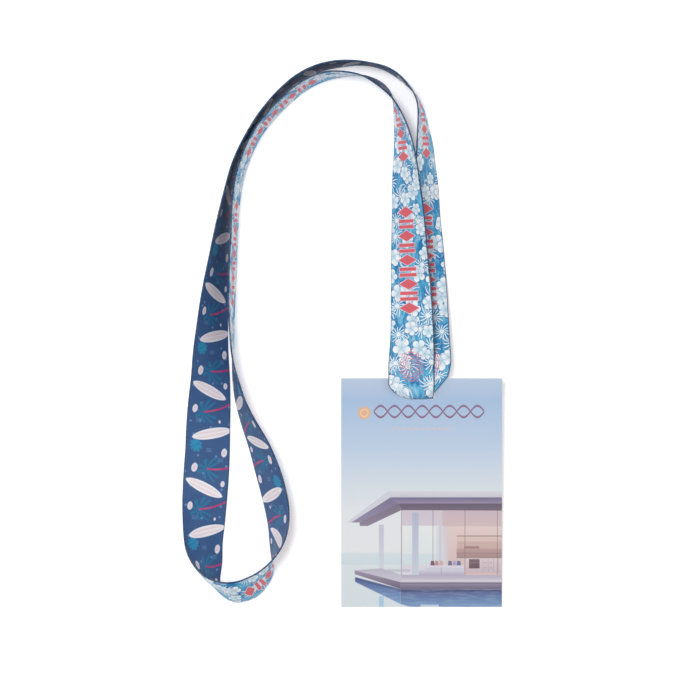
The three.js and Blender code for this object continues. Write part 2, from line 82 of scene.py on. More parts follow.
@dataclass(frozen=True)
class Wire:
    """A node socket that can be used in Python expressions. Each operator adds one node to its material."""

    shop: "Shop"
    socket: bpy.types.NodeSocket

    def math(self, operation: str, *others: "Wire | float", clamp: bool = False) -> "Wire":
        """One Math node on this value and the others.

        Args:
            operation: The node's operation.
            others: Its other inputs.
            clamp: Whether it is held to 0 to 1.

        Returns:
            The result.
        """
        return self.shop.node(
            "ShaderNodeMath", {"operation": operation, "use_clamp": clamp}, [self, *others]
        )

    def __add__(self, other: "Wire | float") -> "Wire":
        """Sum."""
        return self.math("ADD", other)

    def __radd__(self, other: float) -> "Wire":
        """Sum, reflected."""
        return self.math("ADD", other)

    def __sub__(self, other: "Wire | float") -> "Wire":
        """Difference."""
        return self.math("SUBTRACT", other)

    def __rsub__(self, other: float) -> "Wire":
        """Difference, reflected."""
        return self.shop.node("ShaderNodeMath", {"operation": "SUBTRACT"}, [other, self])

    def __mul__(self, other: "Wire | float") -> "Wire":
        """Product."""
        return self.math("MULTIPLY", other)

    def __rmul__(self, other: float) -> "Wire":
        """Product, reflected."""
        return self.math("MULTIPLY", other)

    def __truediv__(self, other: "Wire | float") -> "Wire":
        """Quotient."""
        return self.math("DIVIDE", other)

    def __pow__(self, other: float) -> "Wire":
        """Power."""
        return self.math("POWER", other)

    def __neg__(self) -> "Wire":
        """The value's opposite."""
        return self.math("MULTIPLY", -1.0)

    def __abs__(self) -> "Wire":
        """Size without sign."""
        return self.math("ABSOLUTE")

    def least(self, other: "Wire | float") -> "Wire":
        """The smaller of two values."""
        return self.math("MINIMUM", other)

    def most(self, other: "Wire | float") -> "Wire":
        """The larger of two values."""
        return self.math("MAXIMUM", other)

    def wrapped(self, period: float) -> "Wire":
        """The value folded into half a period either side of nought."""
        return self.math("WRAP", period / 2, -period / 2)

    def over(self, sharpness: float) -> "Wire":
        """A mask: 1 where the value is above nought, with an edge one unit over sharpness wide.

        Args:
            sharpness: How steep the edge is.

        Returns:
            The mask.
        """
        return self.shop.node(
            "ShaderNodeMath", {"operation": "MULTIPLY_ADD", "use_clamp": True}, [self, sharpness, 0.5]
        )

    def along(self, x: float, y: float, offset: float) -> "Wire":
        """A plane point (x, y, 1) taken along a direction: x and y times the direction, plus an offset.

        Args:
            x: The direction's x.
            y: The direction's y.
            offset: What is added.

        Returns:
            The distance along it.
        """
        return self.shop.node(
            "ShaderNodeVectorMath", {"operation": "DOT_PRODUCT"}, [self, (x, y, offset)], "Value"
        )

    def shifted(self, other: "Wire | tuple[float, float, float]", operation: str = "ADD") -> "Wire":
        """One Vector Math node on this vector and another."""
        return self.shop.node("ShaderNodeVectorMath", {"operation": operation}, [self, other])

    def length(self) -> "Wire":
        """The length of a vector."""
        return self.shop.node("ShaderNodeVectorMath", {"operation": "LENGTH"}, [self], "Value")


class Shop:
    """A material's node tree and its Principled shader."""

    def __init__(self, name: str) -> None:
        """Starts a material of that name with a Principled shader joined to its output.

        Args:
            name: The material's name.
        """
        self.material = bpy.data.materials.new(name)
        self.material.use_nodes = True
        self.tree = self.material.node_tree
        self.tree.nodes.clear()
        self.shader = self.tree.nodes.new("ShaderNodeBsdfPrincipled")
        output = self.tree.nodes.new("ShaderNodeOutputMaterial")
        self.tree.links.new(self.shader.outputs["BSDF"], output.inputs["Surface"])

    def node(
        self,
        kind: str,
        settings: dict[str, object] | None = None,
        inputs: list | dict | None = None,
        output: str | int = 0,
    ) -> Wire:
        """Adds any node.

        Args:
            kind: The node's type name.
            settings: Its properties, set first. A ramp's "stops" are (place, colour) pairs.
            inputs: Values or wires for its sockets, in order or by name.
            output: Which output to hand back.

        Returns:
            The chosen output.
        """
        node = self.tree.nodes.new(kind)
        for name, value in (settings or {}).items():
            if name == "stops":
                self._set_stops(node.color_ramp, value)
            else:
                setattr(node, name, value)
        pairs = inputs.items() if isinstance(inputs, dict) else enumerate(inputs or [])
        for key, value in pairs:
            self.feed(node.inputs[key], value)
        return Wire(self, node.outputs[output])

    @staticmethod
    def _set_stops(ramp: bpy.types.ColorRamp, stops: list[tuple]) -> None:
        """Puts the stops into a ramp that starts with two.

        Args:
            ramp: The node's ramp.
            stops: (place, colour) pairs.
        """
        while len(ramp.elements) < len(stops):
            ramp.elements.new(0.5)
        for element, (place, colour) in zip(ramp.elements, stops):
            element.position = place
            element.color = colour

    def feed(self, socket: bpy.types.NodeSocket, value: object) -> None:
        """Links a wire to a socket, or sets the socket's own value.

        Args:
            socket: An input.
            value: A wire, or a value of its own kind.
        """
        if isinstance(value, Wire):
            self.tree.links.new(value.socket, socket)
        else:
            socket.default_value = value

    def set(self, **values: object) -> None:
        """Sets or links the Principled shader's sockets, with _ for the spaces in their names."""
        for name, value in values.items():
            self.feed(self.shader.inputs[name.replace("_", " ")], value)

    def attribute(self, name: str) -> Wire:
        """A vector stored on the mesh."""
        return self.node("ShaderNodeAttribute", {"attribute_name": name}, None, "Vector")

    def object_place(self) -> Wire:
        """Object coordinates."""
        return self.node("ShaderNodeTexCoord", None, None, "Object")

    def split(self, vector: Wire) -> tuple[Wire, Wire]:
        """The first two parts of a vector.

        Args:
            vector: Any vector.

        Returns:
            Its x and y.
        """
        parts = self.tree.nodes.new("ShaderNodeSeparateXYZ")
        self.feed(parts.inputs[0], vector)
        return Wire(self, parts.outputs[0]), Wire(self, parts.outputs[1])

    def join(self, x: Wire | float, y: Wire | float, z: Wire | float = 0.0) -> Wire:
        """A vector from its parts."""
        return self.node("ShaderNodeCombineXYZ", None, [x, y, z])

    def blend(self, share: Wire | float, below: object, above: object) -> Wire:
        """A colour mixed from below to above by a share."""
        settings = {"data_type": "RGBA"}
        return self.node("ShaderNodeMix", settings, {0: share, 6: below, 7: above}, 2)

    def noise(self, place: Wire, scale: float, detail: float = 2.0, colour: bool = False) -> Wire:
        """A soft random value, or a random vector, of a scale per unit of place."""
        inputs = {"Vector": place, "Scale": scale, "Detail": detail}
        return self.node("ShaderNodeTexNoise", None, inputs, "Color" if colour else 0)

    def bump(self, height: Wire, strength: float, distance: float) -> Wire:
        """A bumped normal."""
        inputs = {"Strength": strength, "Distance": distance, "Height": height}
        return self.node("ShaderNodeBump", None, inputs)


# ---------------------------------------------------------------- meshes


def write_mesh(name: str, points: np.ndarray, faces: np.ndarray, smooth: bool = True) -> bpy.types.Object:
    """Makes a mesh object of four-cornered faces.

    Args:
        name: The object's name.
        points: Corners in millimetres, one row each.
        faces: Four corner numbers to a row.
        smooth: Whether its faces are shaded smooth.

    Returns:
        The object, at the origin.
    """
    mesh = bpy.data.meshes.new(name)
    mesh.vertices.add(len(points))
    mesh.vertices.foreach_set("co", (points * MM).astype(np.float32).ravel())
    mesh.loops.add(faces.size)
    mesh.loops.foreach_set("vertex_index", faces.astype(np.int32).ravel())
    mesh.polygons.add(len(faces))
    mesh.polygons.foreach_set("loop_start", np.arange(0, faces.size, 4, dtype=np.int32))
    mesh.polygons.foreach_set("loop_total", np.full(len(faces), 4, np.int32))
    mesh.polygons.foreach_set("use_smooth", np.full(len(faces), smooth))
    mesh.update()
    mesh.validate()
    made = bpy.data.objects.new(name, mesh)
    bpy.context.scene.collection.objects.link(made)
    return made


def ring_faces(rings: int, around: int) -> np.ndarray:
    """Faces between neighbouring rings of points, each ring closed on itself.

    Args:
        rings: How many rings.
        around: Points to a ring.

    Returns:
        Four corner numbers to a row.
    """
    ring = np.arange(rings - 1)[:, None] * around
    corner = np.arange(around)[None, :]
    after = (corner + 1) % around
    return np.stack(
        [ring + corner, ring + after, ring + after + around, ring + corner + around], axis=-1
    ).reshape(-1, 4)


def cap_faces(first: int, around: int, backwards: bool) -> np.ndarray:
    """Strip faces that close an even ring: each joins two neighbours to the two across from them.

    Args:
        first: The ring's first point.
        around: Points to the ring.
        backwards: Whether to turn the faces over.

    Returns:
        Four corner numbers to a row.
    """
    near = np.arange(around // 2 - 1)
    far = around - 1 - near
    faces = np.stack([near, far, far - 1, near + 1], axis=-1) + first
    return faces[:, ::-1] if backwards else faces


def tube(name: str, path: np.ndarray, radius: float, sides: int = 12) -> bpy.types.Object:
    """A round tube with rounded ends.

    A circle is carried along the path on two directions at right angles to it, worked out from the path's
    direction and a fixed upright. Three extra rings at each end shrink as the cosine of their angle.

    Args:
        name: The object's name.
        path: Points in millimetres.
        radius: The tube's radius in millimetres.
        sides: Points to a circle.

    Returns:
        The tube's object.
    """
    along = np.gradient(path, axis=0)
    along /= np.linalg.norm(along, axis=1, keepdims=True)
    end_turns = np.radians([80.0, 55.0, 28.0])
    head = path[0] - along[0] * radius * np.sin(end_turns)[:, None]
    tail = path[-1] + along[-1] * radius * np.sin(end_turns[::-1])[:, None]
    centres = np.vstack([head, path, tail])
    ways = np.vstack([np.repeat(along[:1], 3, 0), along, np.repeat(along[-1:], 3, 0)])
    radii = radius * np.concatenate([np.cos(end_turns), np.ones(len(path)), np.cos(end_turns[::-1])])
    upright = np.tile([0.0, 0.0, 1.0], (len(ways), 1))
    upright[np.abs(ways[:, 2]) > 0.9] = (1.0, 0.0, 0.0)
    side = np.cross(ways, upright)
    side /= np.linalg.norm(side, axis=1, keepdims=True)
    top = np.cross(side, ways)
    angle = np.linspace(0, 2 * np.pi, sides, endpoint=False)
    spokes = side[:, None] * np.cos(angle)[None, :, None] + top[:, None] * np.sin(angle)[None, :, None]
    points = (centres[:, None] + spokes * radii[:, None, None]).reshape(-1, 3)
    rings = len(centres)
    faces = np.vstack(
        [
            ring_faces(rings, sides)[:, ::-1],
            cap_faces(0, sides, False),
            cap_faces((rings - 1) * sides, sides, True),
        ]
    )
    made = write_mesh(name, points, faces)
    right_way_out(made)
    return made


def right_way_out(piece: bpy.types.Object) -> None:
    """Turns a closed mesh's faces to point outwards.

    Args:
        piece: The closed mesh.
    """
    work = bmesh.new()
    work.from_mesh(piece.data)
    bmesh.ops.recalc_face_normals(work, faces=work.faces)
    work.to_mesh(piece.data)
    work.free()


def catmull(points: np.ndarray, at: np.ndarray, centripetal: bool) -> np.ndarray:
    """A smooth curve through points.

    Each span is a cubic with its two ends' places and slopes. The slopes come from the neighbours on both
    sides, weighted by the square roots of the distances when centripetal, and evenly otherwise. Beyond the
    ends, the last span is repeated.

    Args:
        points: The points, one to a row.
        at: Where to read the curve, as a point's number plus a share of the span after it.
        centripetal: Which weighting to use.

    Returns:
        The curve's points, one row for each place asked.
    """
    padded = np.vstack([2 * points[0] - points[1], points, 2 * points[-1] - points[-2]])
    span = np.clip(np.floor(at).astype(int), 0, len(points) - 2)
    share = (at - span)[:, None]
    before, start, end, after = (padded[span + i] for i in range(4))
    if centripetal:
        near, middle, far = (
            np.maximum(np.linalg.norm(b - a, axis=1, keepdims=True) ** 0.5, 1e-4)
            for a, b in ((before, start), (start, end), (end, after))
        )
        leave = ((start - before) / near - (end - before) / (near + middle) + (end - start) / middle) * middle
        arrive = ((end - start) / middle - (after - start) / (middle + far) + (after - end) / far) * middle
    else:
        leave = (end - before) / 2
        arrive = (after - start) / 2
    bend = 3 * (end - start) - 2 * leave - arrive
    twist = 2 * (start - end) + leave + arrive
    return start + share * (leave + share * (bend + share * twist))


def run_of(line: np.ndarray) -> np.ndarray:
    """The length run at each point of a line."""
    return np.concatenate([[0], np.cumsum(np.linalg.norm(np.diff(line, axis=0), axis=1))])


# ---------------------------------------------------------------- the ribbon's course


@dataclass(frozen=True)
class Station:
    """A place on the ribbon's course.

    x and y are its middle line. lean is in degrees from upright, positive with the upper edge to the left of
    the way it runs. lift is how far the lower edge is off the table. over, where given, is how far right of
    and ahead of the lower edge the upper one is. bow is how far its section bulges towards the outer face.
    """

    x: float
    y: float
    lean: float = 0.0
    lift: float = 0.0
    over: tuple[float, float] | None = None
    bow: float = 0.0


def rise(x: float, y: float, lean: float, lift: float = 0.0, bow: float = 0.0) -> Station:
    """A station where the ribbon stands or leans."""
    return Station(x, y, lean, lift, None, bow)


def turn(x: float, y: float, right: float, ahead: float, bow: float) -> Station:
    """A station where the ribbon turns over."""
    return Station(x, y, 0.0, 0.0, (right, ahead), bow)


@dataclass(frozen=True)
class Course:
    """The ribbon's sizes and its route, in millimetres in the drawing frame."""

    width: float = 20.0
    thickness: float = 0.7
    layer_gap: float = 0.3
    neck_x: float = 33.8
    neck_width: float = 12.0
    neck_dip: float = 75.0
    neck_ease: float = 0.7
    draw_in: float = 6.0
    round_end: float = 0.3
    slant_from: float = 2.2
    upper_head_x: float = 30.3
    lower_head_x: float = 37.6
    crest: float = 1.4
    crown: float = 0.2
    head_overrun: float = 0.6
    dive_start: float = 1.9
    dive_above: float = 1.6
    dive_below: float = 2.2
    sewn_from_bar: float = 2.6
    slot_y: float = -26.3
    slot_rise: float = 10.0
    slot_from_head: float = 7.35
    card_length: float = 100.0
    card_thickness: float = 0.8
    bar_from_slot: float = 11.0
    bar_rise: float = 2.1
    bar_radius: float = 1.0
    sewn_length: float = 3.2
    step: float = 0.9
    smooth_middle: float = 1.6
    smooth_half: float = 2.6
    smooth_bow: float = 5.0

    @property
    def pitch(self) -> float:
        """From one layer's middle to the next one's."""
        return self.thickness + self.layer_gap

    @property
    def bar_y(self) -> float:
        """The eye's bar."""
        return self.slot_y - self.bar_from_slot

    @property
    def wrap_radius(self) -> float:
        """From the bar's axis to the middle of the ribbon round it."""
        return self.bar_radius + self.layer_gap + self.thickness / 2

    @property
    def neck_floor(self) -> float:
        """Height of the line between the neck's layers, behind the card."""
        return self.bar_rise + self.wrap_radius + self.pitch / 2

    @property
    def sewn_y(self) -> float:
        """Where the sewn layers start."""
        return self.bar_y + self.sewn_from_bar

    @property
    def tilt(self) -> float:
        """The card's slope, in radians: its slot is held up and its foot is on the table."""
        slot_to_foot = self.card_length - self.slot_from_head
        return math.asin((self.slot_rise - self.card_thickness / 2) / slot_to_foot)

    @property
    def head_y(self) -> float:
        """The card's upper edge."""
        return self.slot_y + self.slot_from_head * math.cos(self.tilt)

    def card_top(self, y: float) -> float:
        """Height of the card's upper face."""
        rising = (y - self.slot_y) * math.tan(self.tilt)
        return self.slot_rise + rising + self.card_thickness / 2 / math.cos(self.tilt)

    def neck_route(self) -> np.ndarray:
        """The line between the neck's two layers: over the card's head, down the slot and along to the eye.

        Returns:
            Even points along it.
        """
        over_head = self.pitch / 2 + self.thickness / 2 + self.layer_gap
        rise_over = self.card_top(self.head_y) + over_head
        across, down = math.cos(math.radians(self.neck_dip)), math.sin(math.radians(self.neck_dip))
        corners = np.array(
            [
                (self.head_y + self.head_overrun, rise_over),
                (self.head_y - 3.6, rise_over + self.crown * 0.75),
                (self.slot_y + self.dive_start, rise_over + self.crown),
                (self.slot_y + self.dive_above * across + 0.1, self.slot_rise + self.dive_above * down),
                (self.slot_y, self.slot_rise),
                (self.slot_y - self.dive_below * across, self.slot_rise - self.dive_below * down),
                (self.slot_y - 1.7, self.slot_rise - 4.2),
                (self.slot_y - 3.5, self.neck_floor + 0.4),
                (self.slot_y - 5.4, self.neck_floor),
                (self.sewn_y, self.neck_floor),
            ]
        )
        places = np.linspace(0, len(corners) - 1, 400)
        line = catmull(np.column_stack([np.zeros(len(corners)), corners]), places, True)
        gone = run_of(line)
        even = np.linspace(0, gone[-1], 73)
        return np.column_stack([np.interp(even, gone, line[:, axis]) for axis in range(3)])

    def neck_before_slot(self, line: np.ndarray) -> np.ndarray:
        """How far each point of the neck's line is from the slot, counted along it and falling to nought.

        Args:
            line: The points.

        Returns:
            A distance for each.
        """
        gone = run_of(line)
        above = line[:, 1] > self.slot_y - 0.5
        at_slot = gone[np.argmin(np.abs(line[:, 2] - self.slot_rise) + 100 * ~above)]
        return at_slot - gone

    def neck_layer(
        self, layer: int, head_x: float, ease: np.ndarray, crest: float
    ) -> dict[str, np.ndarray]:
        """One layer of the neck.

        The layer is the line between the two moved by half their pitch along its normal. Its width and
        sideways place ease from the head's to the slot's. Just before the slot it arches out over its edge.

        Args:
            layer: 1 for the upper layer and -1 for the lower one.
            head_x: Where its middle is at the card's head.
            ease: How far drawn in it is at each point, 0 to 1.
            crest: How far its middle arches out.

        Returns:
            Middles, half-width vectors and bows.
        """
        line = self.neck_route()
        along = np.gradient(line, axis=0)
        along /= np.linalg.norm(along, axis=1, keepdims=True)
        normal = np.column_stack([np.zeros(len(line)), along[:, 2], -along[:, 1]])
        middle = line + normal * layer * self.pitch / 2
        middle[:, 0] = head_x + (self.neck_x - head_x) * ease
        half = np.zeros_like(middle)
        half[:, 0] = layer * (self.width + (self.neck_width - self.width) * ease) / 2
        before = self.neck_before_slot(line)
        bow = np.interp(before, [-0.6, 0.3, 0.9, 1.6, 2.4, 4, 8], [0, 0.2, 0.85, 1, 0.9, 0.5, 0]) * crest
        return {"middle": middle, "half": half, "bow": bow}

    def loop(self) -> list[Station]:
        """The loop from the front strap round the lobe and back.

        Returns:
            The stations in order.
        """
        over_card = self.card_top(self.head_y) + self.layer_gap + self.pitch - 0.15
        front = [
            rise(30.3, -14, -87, over_card),
            rise(30.7, -2.4, -72, 10.9, 0.3),
            rise(30.4, 15, -63, 7.9, 0.4),
            rise(29.6, 34, -53.5, 7.2, 0.4),
            rise(28.9, 52.5, -44, 9, 0.3),
            rise(28, 67, -36, 7.2),
            rise(27.3, 80, -26, 3.6),
            rise(26, 89, -18, 1.2),
            rise(24.5, 95.5, -10, 0.2),
            rise(22.7, 101.5, 0),
        ]
        inner_arc = [
            rise(20.2, 105.4, 5),
            rise(17.8, 107.8, 7.5),
            rise(14.6, 110, 6),
            rise(11.1, 111.7, 3),
            rise(6.7, 112.9, 0),
            rise(-0.6, 113, -6),
            rise(-7.4, 112, -10),
            rise(-15, 108.7, -11),
            rise(-22.4, 103.3, -11.5),
            rise(-30.2, 95.4, -11),
            rise(-36.7, 87, -11),
        ]
        inner_run = [
            rise(-41.6, 76.7, -10.5),
            rise(-44.5, 67, -10),
            rise(-46, 56, -8.5),
            rise(-46.6, 43, -8),
            rise(-47.3, 28, -8.5),
            rise(-47.7, 13, -7),
            rise(-47.6, 0, -4),
            rise(-47.3, -10, 0),
        ]
        lobe = [
            rise(-45.7, -21, 8),
            rise(-43.5, -30, 13),
            rise(-40, -39, 19),
            rise(-36.1, -47.6, 26),
            rise(-32.4, -58, 32),
            rise(-29.6, -67.6, 33.5),
            rise(-27.8, -76.3, 31.5),
            rise(-27.4, -85, 25, 0, 0.3),
            rise(-28.7, -92.8, 14, 0, 0.5),
            rise(-30.2, -98, 0, 0, 0.7),
            rise(-32, -102.8, -15, 0, 0.8),
            rise(-35.4, -107, -23, 0, 0.6),
            rise(-39.8, -110.2, -30, 0, 0.5),
            turn(-44.8, -111.7, 1.5, 10, 0.7),
            turn(-49.6, -111.2, 0, 7.4, 1.4),
            turn(-53.2, -108.9, -2, 4, 2.2),
            turn(-55.8, -105.9, -5.6, 1.9, 2.6),
            turn(-57.5, -102.3, -10.5, 1, 2.0),
            turn(-58.8, -97.6, -14.2, 0.4, 1.2),
        ]
        outer_run = [
            rise(-59.8, -92, 54, 0, 0.7),
            rise(-59.8, -81.5, 66, 0, 0.3),
            rise(-59.4, -71, 76),
            rise(-58.8, -60.7, 81),
            rise(-58.2, -50.2, 75),
            rise(-57.9, -39.8, 72),
            rise(-57.4, -29.3, 66),
            rise(-56.9, -18.9, 57),
            rise(-56.8, -8.5, 50),
            rise(-56.2, 2, 43),
            rise(-54.9, 17.6, 35),
            rise(-53.2, 33.3, 25),
            rise(-51.3, 49, 16),
            rise(-49, 62.8, 9),
            rise(-46.4, 73.7, 6),
        ]
        outer_arc = [
            rise(-40.9, 85.2, 7),
            rise(-34.5, 95.5, 7),
            rise(-25.8, 105.6, 7),
            rise(-17.3, 112.2, 8),
            rise(-8.9, 115.9, 8),
            rise(-0.5, 117.5, 7),
            rise(7.2, 117.8, 4),
            rise(13.3, 117.1, 2),
            rise(18.9, 115.5, 3.5),
            rise(23.3, 113.1, 3.5),
            rise(27.2, 109.8, 2),
            rise(31, 105.6, -1),
        ]
        back = [
            rise(33.6, 100.7, -4),
            rise(34.8, 95.4, -9.5),
            rise(35.4, 89.8, -14),
            rise(36.1, 82, -21),
            rise(36.4, 75, -24.5),
            rise(36.4, 65, -33.5),
            rise(35.1, 52, -51),
            rise(35.1, 36.7, -68.5, 0.6),
            rise(36.1, 19.3, -77, 3.2),
            rise(36.9, 0, -85, 8.2),
            rise(37.6, -12, -90, 11.2),
        ]
        return front + inner_arc + inner_run + lobe + outer_run + outer_arc + back

    def standing(self, before: np.ndarray, after: np.ndarray) -> dict[str, np.ndarray]:
        """The loop's middles, half-width vectors and bows.

        The half-width vector leans from upright towards the left of the way run by the station's lean: the
        left direction times the lean's sine, plus upright times its cosine. The middle's height is the lift,
        half the height of the leaning width and half the thickness that lies flat.

        Args:
            before: The neck's middle just before the loop.
            after: The neck's middle just after it.

        Returns:
            The three arrays.
        """
        loop = self.loop()
        plan = np.array([(s.x, s.y) for s in loop])
        padded = np.vstack([before[None, :2], plan, after[None, :2]])
        way = padded[2:] - padded[:-2]
        left = np.column_stack([-way[:, 1], way[:, 0]]) / np.linalg.norm(way, axis=1, keepdims=True)
        lean = np.radians([s.lean for s in loop])
        half = np.column_stack([left * np.sin(lean)[:, None], np.cos(lean)]) * self.width / 2
        given = np.array([s.over is not None for s in loop])
        over = np.array([s.over or (0.0, 0.0) for s in loop])[given]
        height = np.sqrt(self.width**2 - (over**2).sum(axis=1))
        half[given] = np.column_stack([over, height]) / 2
        flat = np.hypot(half[:, 0], half[:, 1]) / (self.width / 2)
        level = np.array([s.lift for s in loop]) + np.abs(half[:, 2]) + flat * self.thickness / 2
        return {
            "middle": np.column_stack([plan, level]),
            "half": half,
            "bow": np.array([s.bow for s in loop]),
        }

    def wrap(self) -> dict[str, np.ndarray]:
        """The lower layer's half turn round the eye's bar, and its return under the sewn layers.

        Returns:
            Its "middle", "half" and "bow".
        """
        angle = np.pi / 2 + np.linspace(0, np.pi, 11)
        bend = np.column_stack(
            [
                self.bar_y + self.wrap_radius * np.cos(angle),
                self.bar_rise + self.wrap_radius * np.sin(angle),
            ]
        )
        under = self.bar_rise - self.wrap_radius
        sewn = self.neck_floor - self.pitch * 1.5
        back = [
            (self.bar_y + 0.8, under + 0.1),
            ((self.bar_y + self.sewn_y) / 2 + 0.3, (under + sewn) / 2),
            (self.sewn_y, sewn - 0.12),
            (self.sewn_y + 0.6, sewn),
            (self.sewn_y + self.sewn_length, sewn),
        ]
        line = np.vstack([bend, back])
        middle = np.column_stack([np.full(len(line), self.neck_x), line])
        half = np.tile([-self.neck_width / 2, 0.0, 0.0], (len(line), 1))
        return {"middle": middle, "half": half, "bow": np.zeros(len(line))}

    def followed(self) -> dict[str, np.ndarray]:
        """The whole ribbon at even small steps.

        Returns:
            "middle", "half" and "bow" at each step, and "gone", the length run.
        """
        line = self.neck_route()
        drawn_in = 1 - (self.neck_before_slot(line) - self.round_end) / self.draw_in
        rounded = np.clip(drawn_in, 0, 1) ** 2
        narrow_from = self.head_y + self.slant_from
        slanted = np.clip((narrow_from - line[:, 1]) / (narrow_from - self.slot_y - self.neck_ease), 0, 1)
        outward = self.neck_layer(1, self.upper_head_x, rounded, self.crest)
        upper = {key: value[::-1] for key, value in outward.items()}
        lower = self.neck_layer(-1, self.lower_head_x, slanted, 0.0)
        loop = self.standing(upper["middle"][-1], lower["middle"][0])
        parts = [upper, loop, lower, self.wrap()]
        middle, half, bow = (
            np.concatenate([part[key]
            for part in parts]) for key in ("middle", "half", "bow")
        )
        gone = run_of(middle)
        even = np.arange(0, gone[-1], self.step)
        places = np.interp(even, gone, np.arange(len(gone)))
        widths = np.interp(places, np.arange(len(half)), np.linalg.norm(half, axis=1))
        fine_middle = catmull(middle, places, True)
        fine_half = catmull(half, places, False)
        bows = np.interp(places, np.arange(len(bow)), bow)
        loop_from, loop_to = gone[len(upper["bow"])] + 12, gone[len(upper["bow"]) + len(loop["bow"])] - 12
        easing = np.clip(np.minimum(even - loop_from, loop_to - even) / 20, 0, 1)[:, None]
        fine_middle = softened(fine_middle, self.smooth_middle / self.step, easing)
        fine_half = softened(fine_half, self.smooth_half / self.step, easing)
        bows = softened(bows[:, None], self.smooth_bow / self.step, easing)[:, 0]
        fine_half *= (widths / np.linalg.norm(fine_half, axis=1))[:, None]
        return {"middle": fine_middle, "half": fine_half, "bow": bows, "gone": even}


def softened(values: np.ndarray, spread: float, easing: np.ndarray) -> np.ndarray:
    """Rows averaged with their neighbours under a bell curve, by a share that changes along them.

    Args:
        values: The rows.
        spread: The bell's width, in rows.
        easing: The share for each row, 0 to 1.

    Returns:
        The averaged rows.
    """
    reach = int(spread * 3)
    bell = np.exp(-0.5 * (np.arange(-reach, reach + 1) / spread) ** 2)
    bell /= bell.sum()
    padded = np.pad(values, ((reach, reach), (0, 0)), mode="edge")
    smooth = np.column_stack([np.convolve(padded[:, i], bell, "valid") for i in range(values.shape[1])])
    return values + (smooth - values) * easing


# ---------------------------------------------------------------- prints


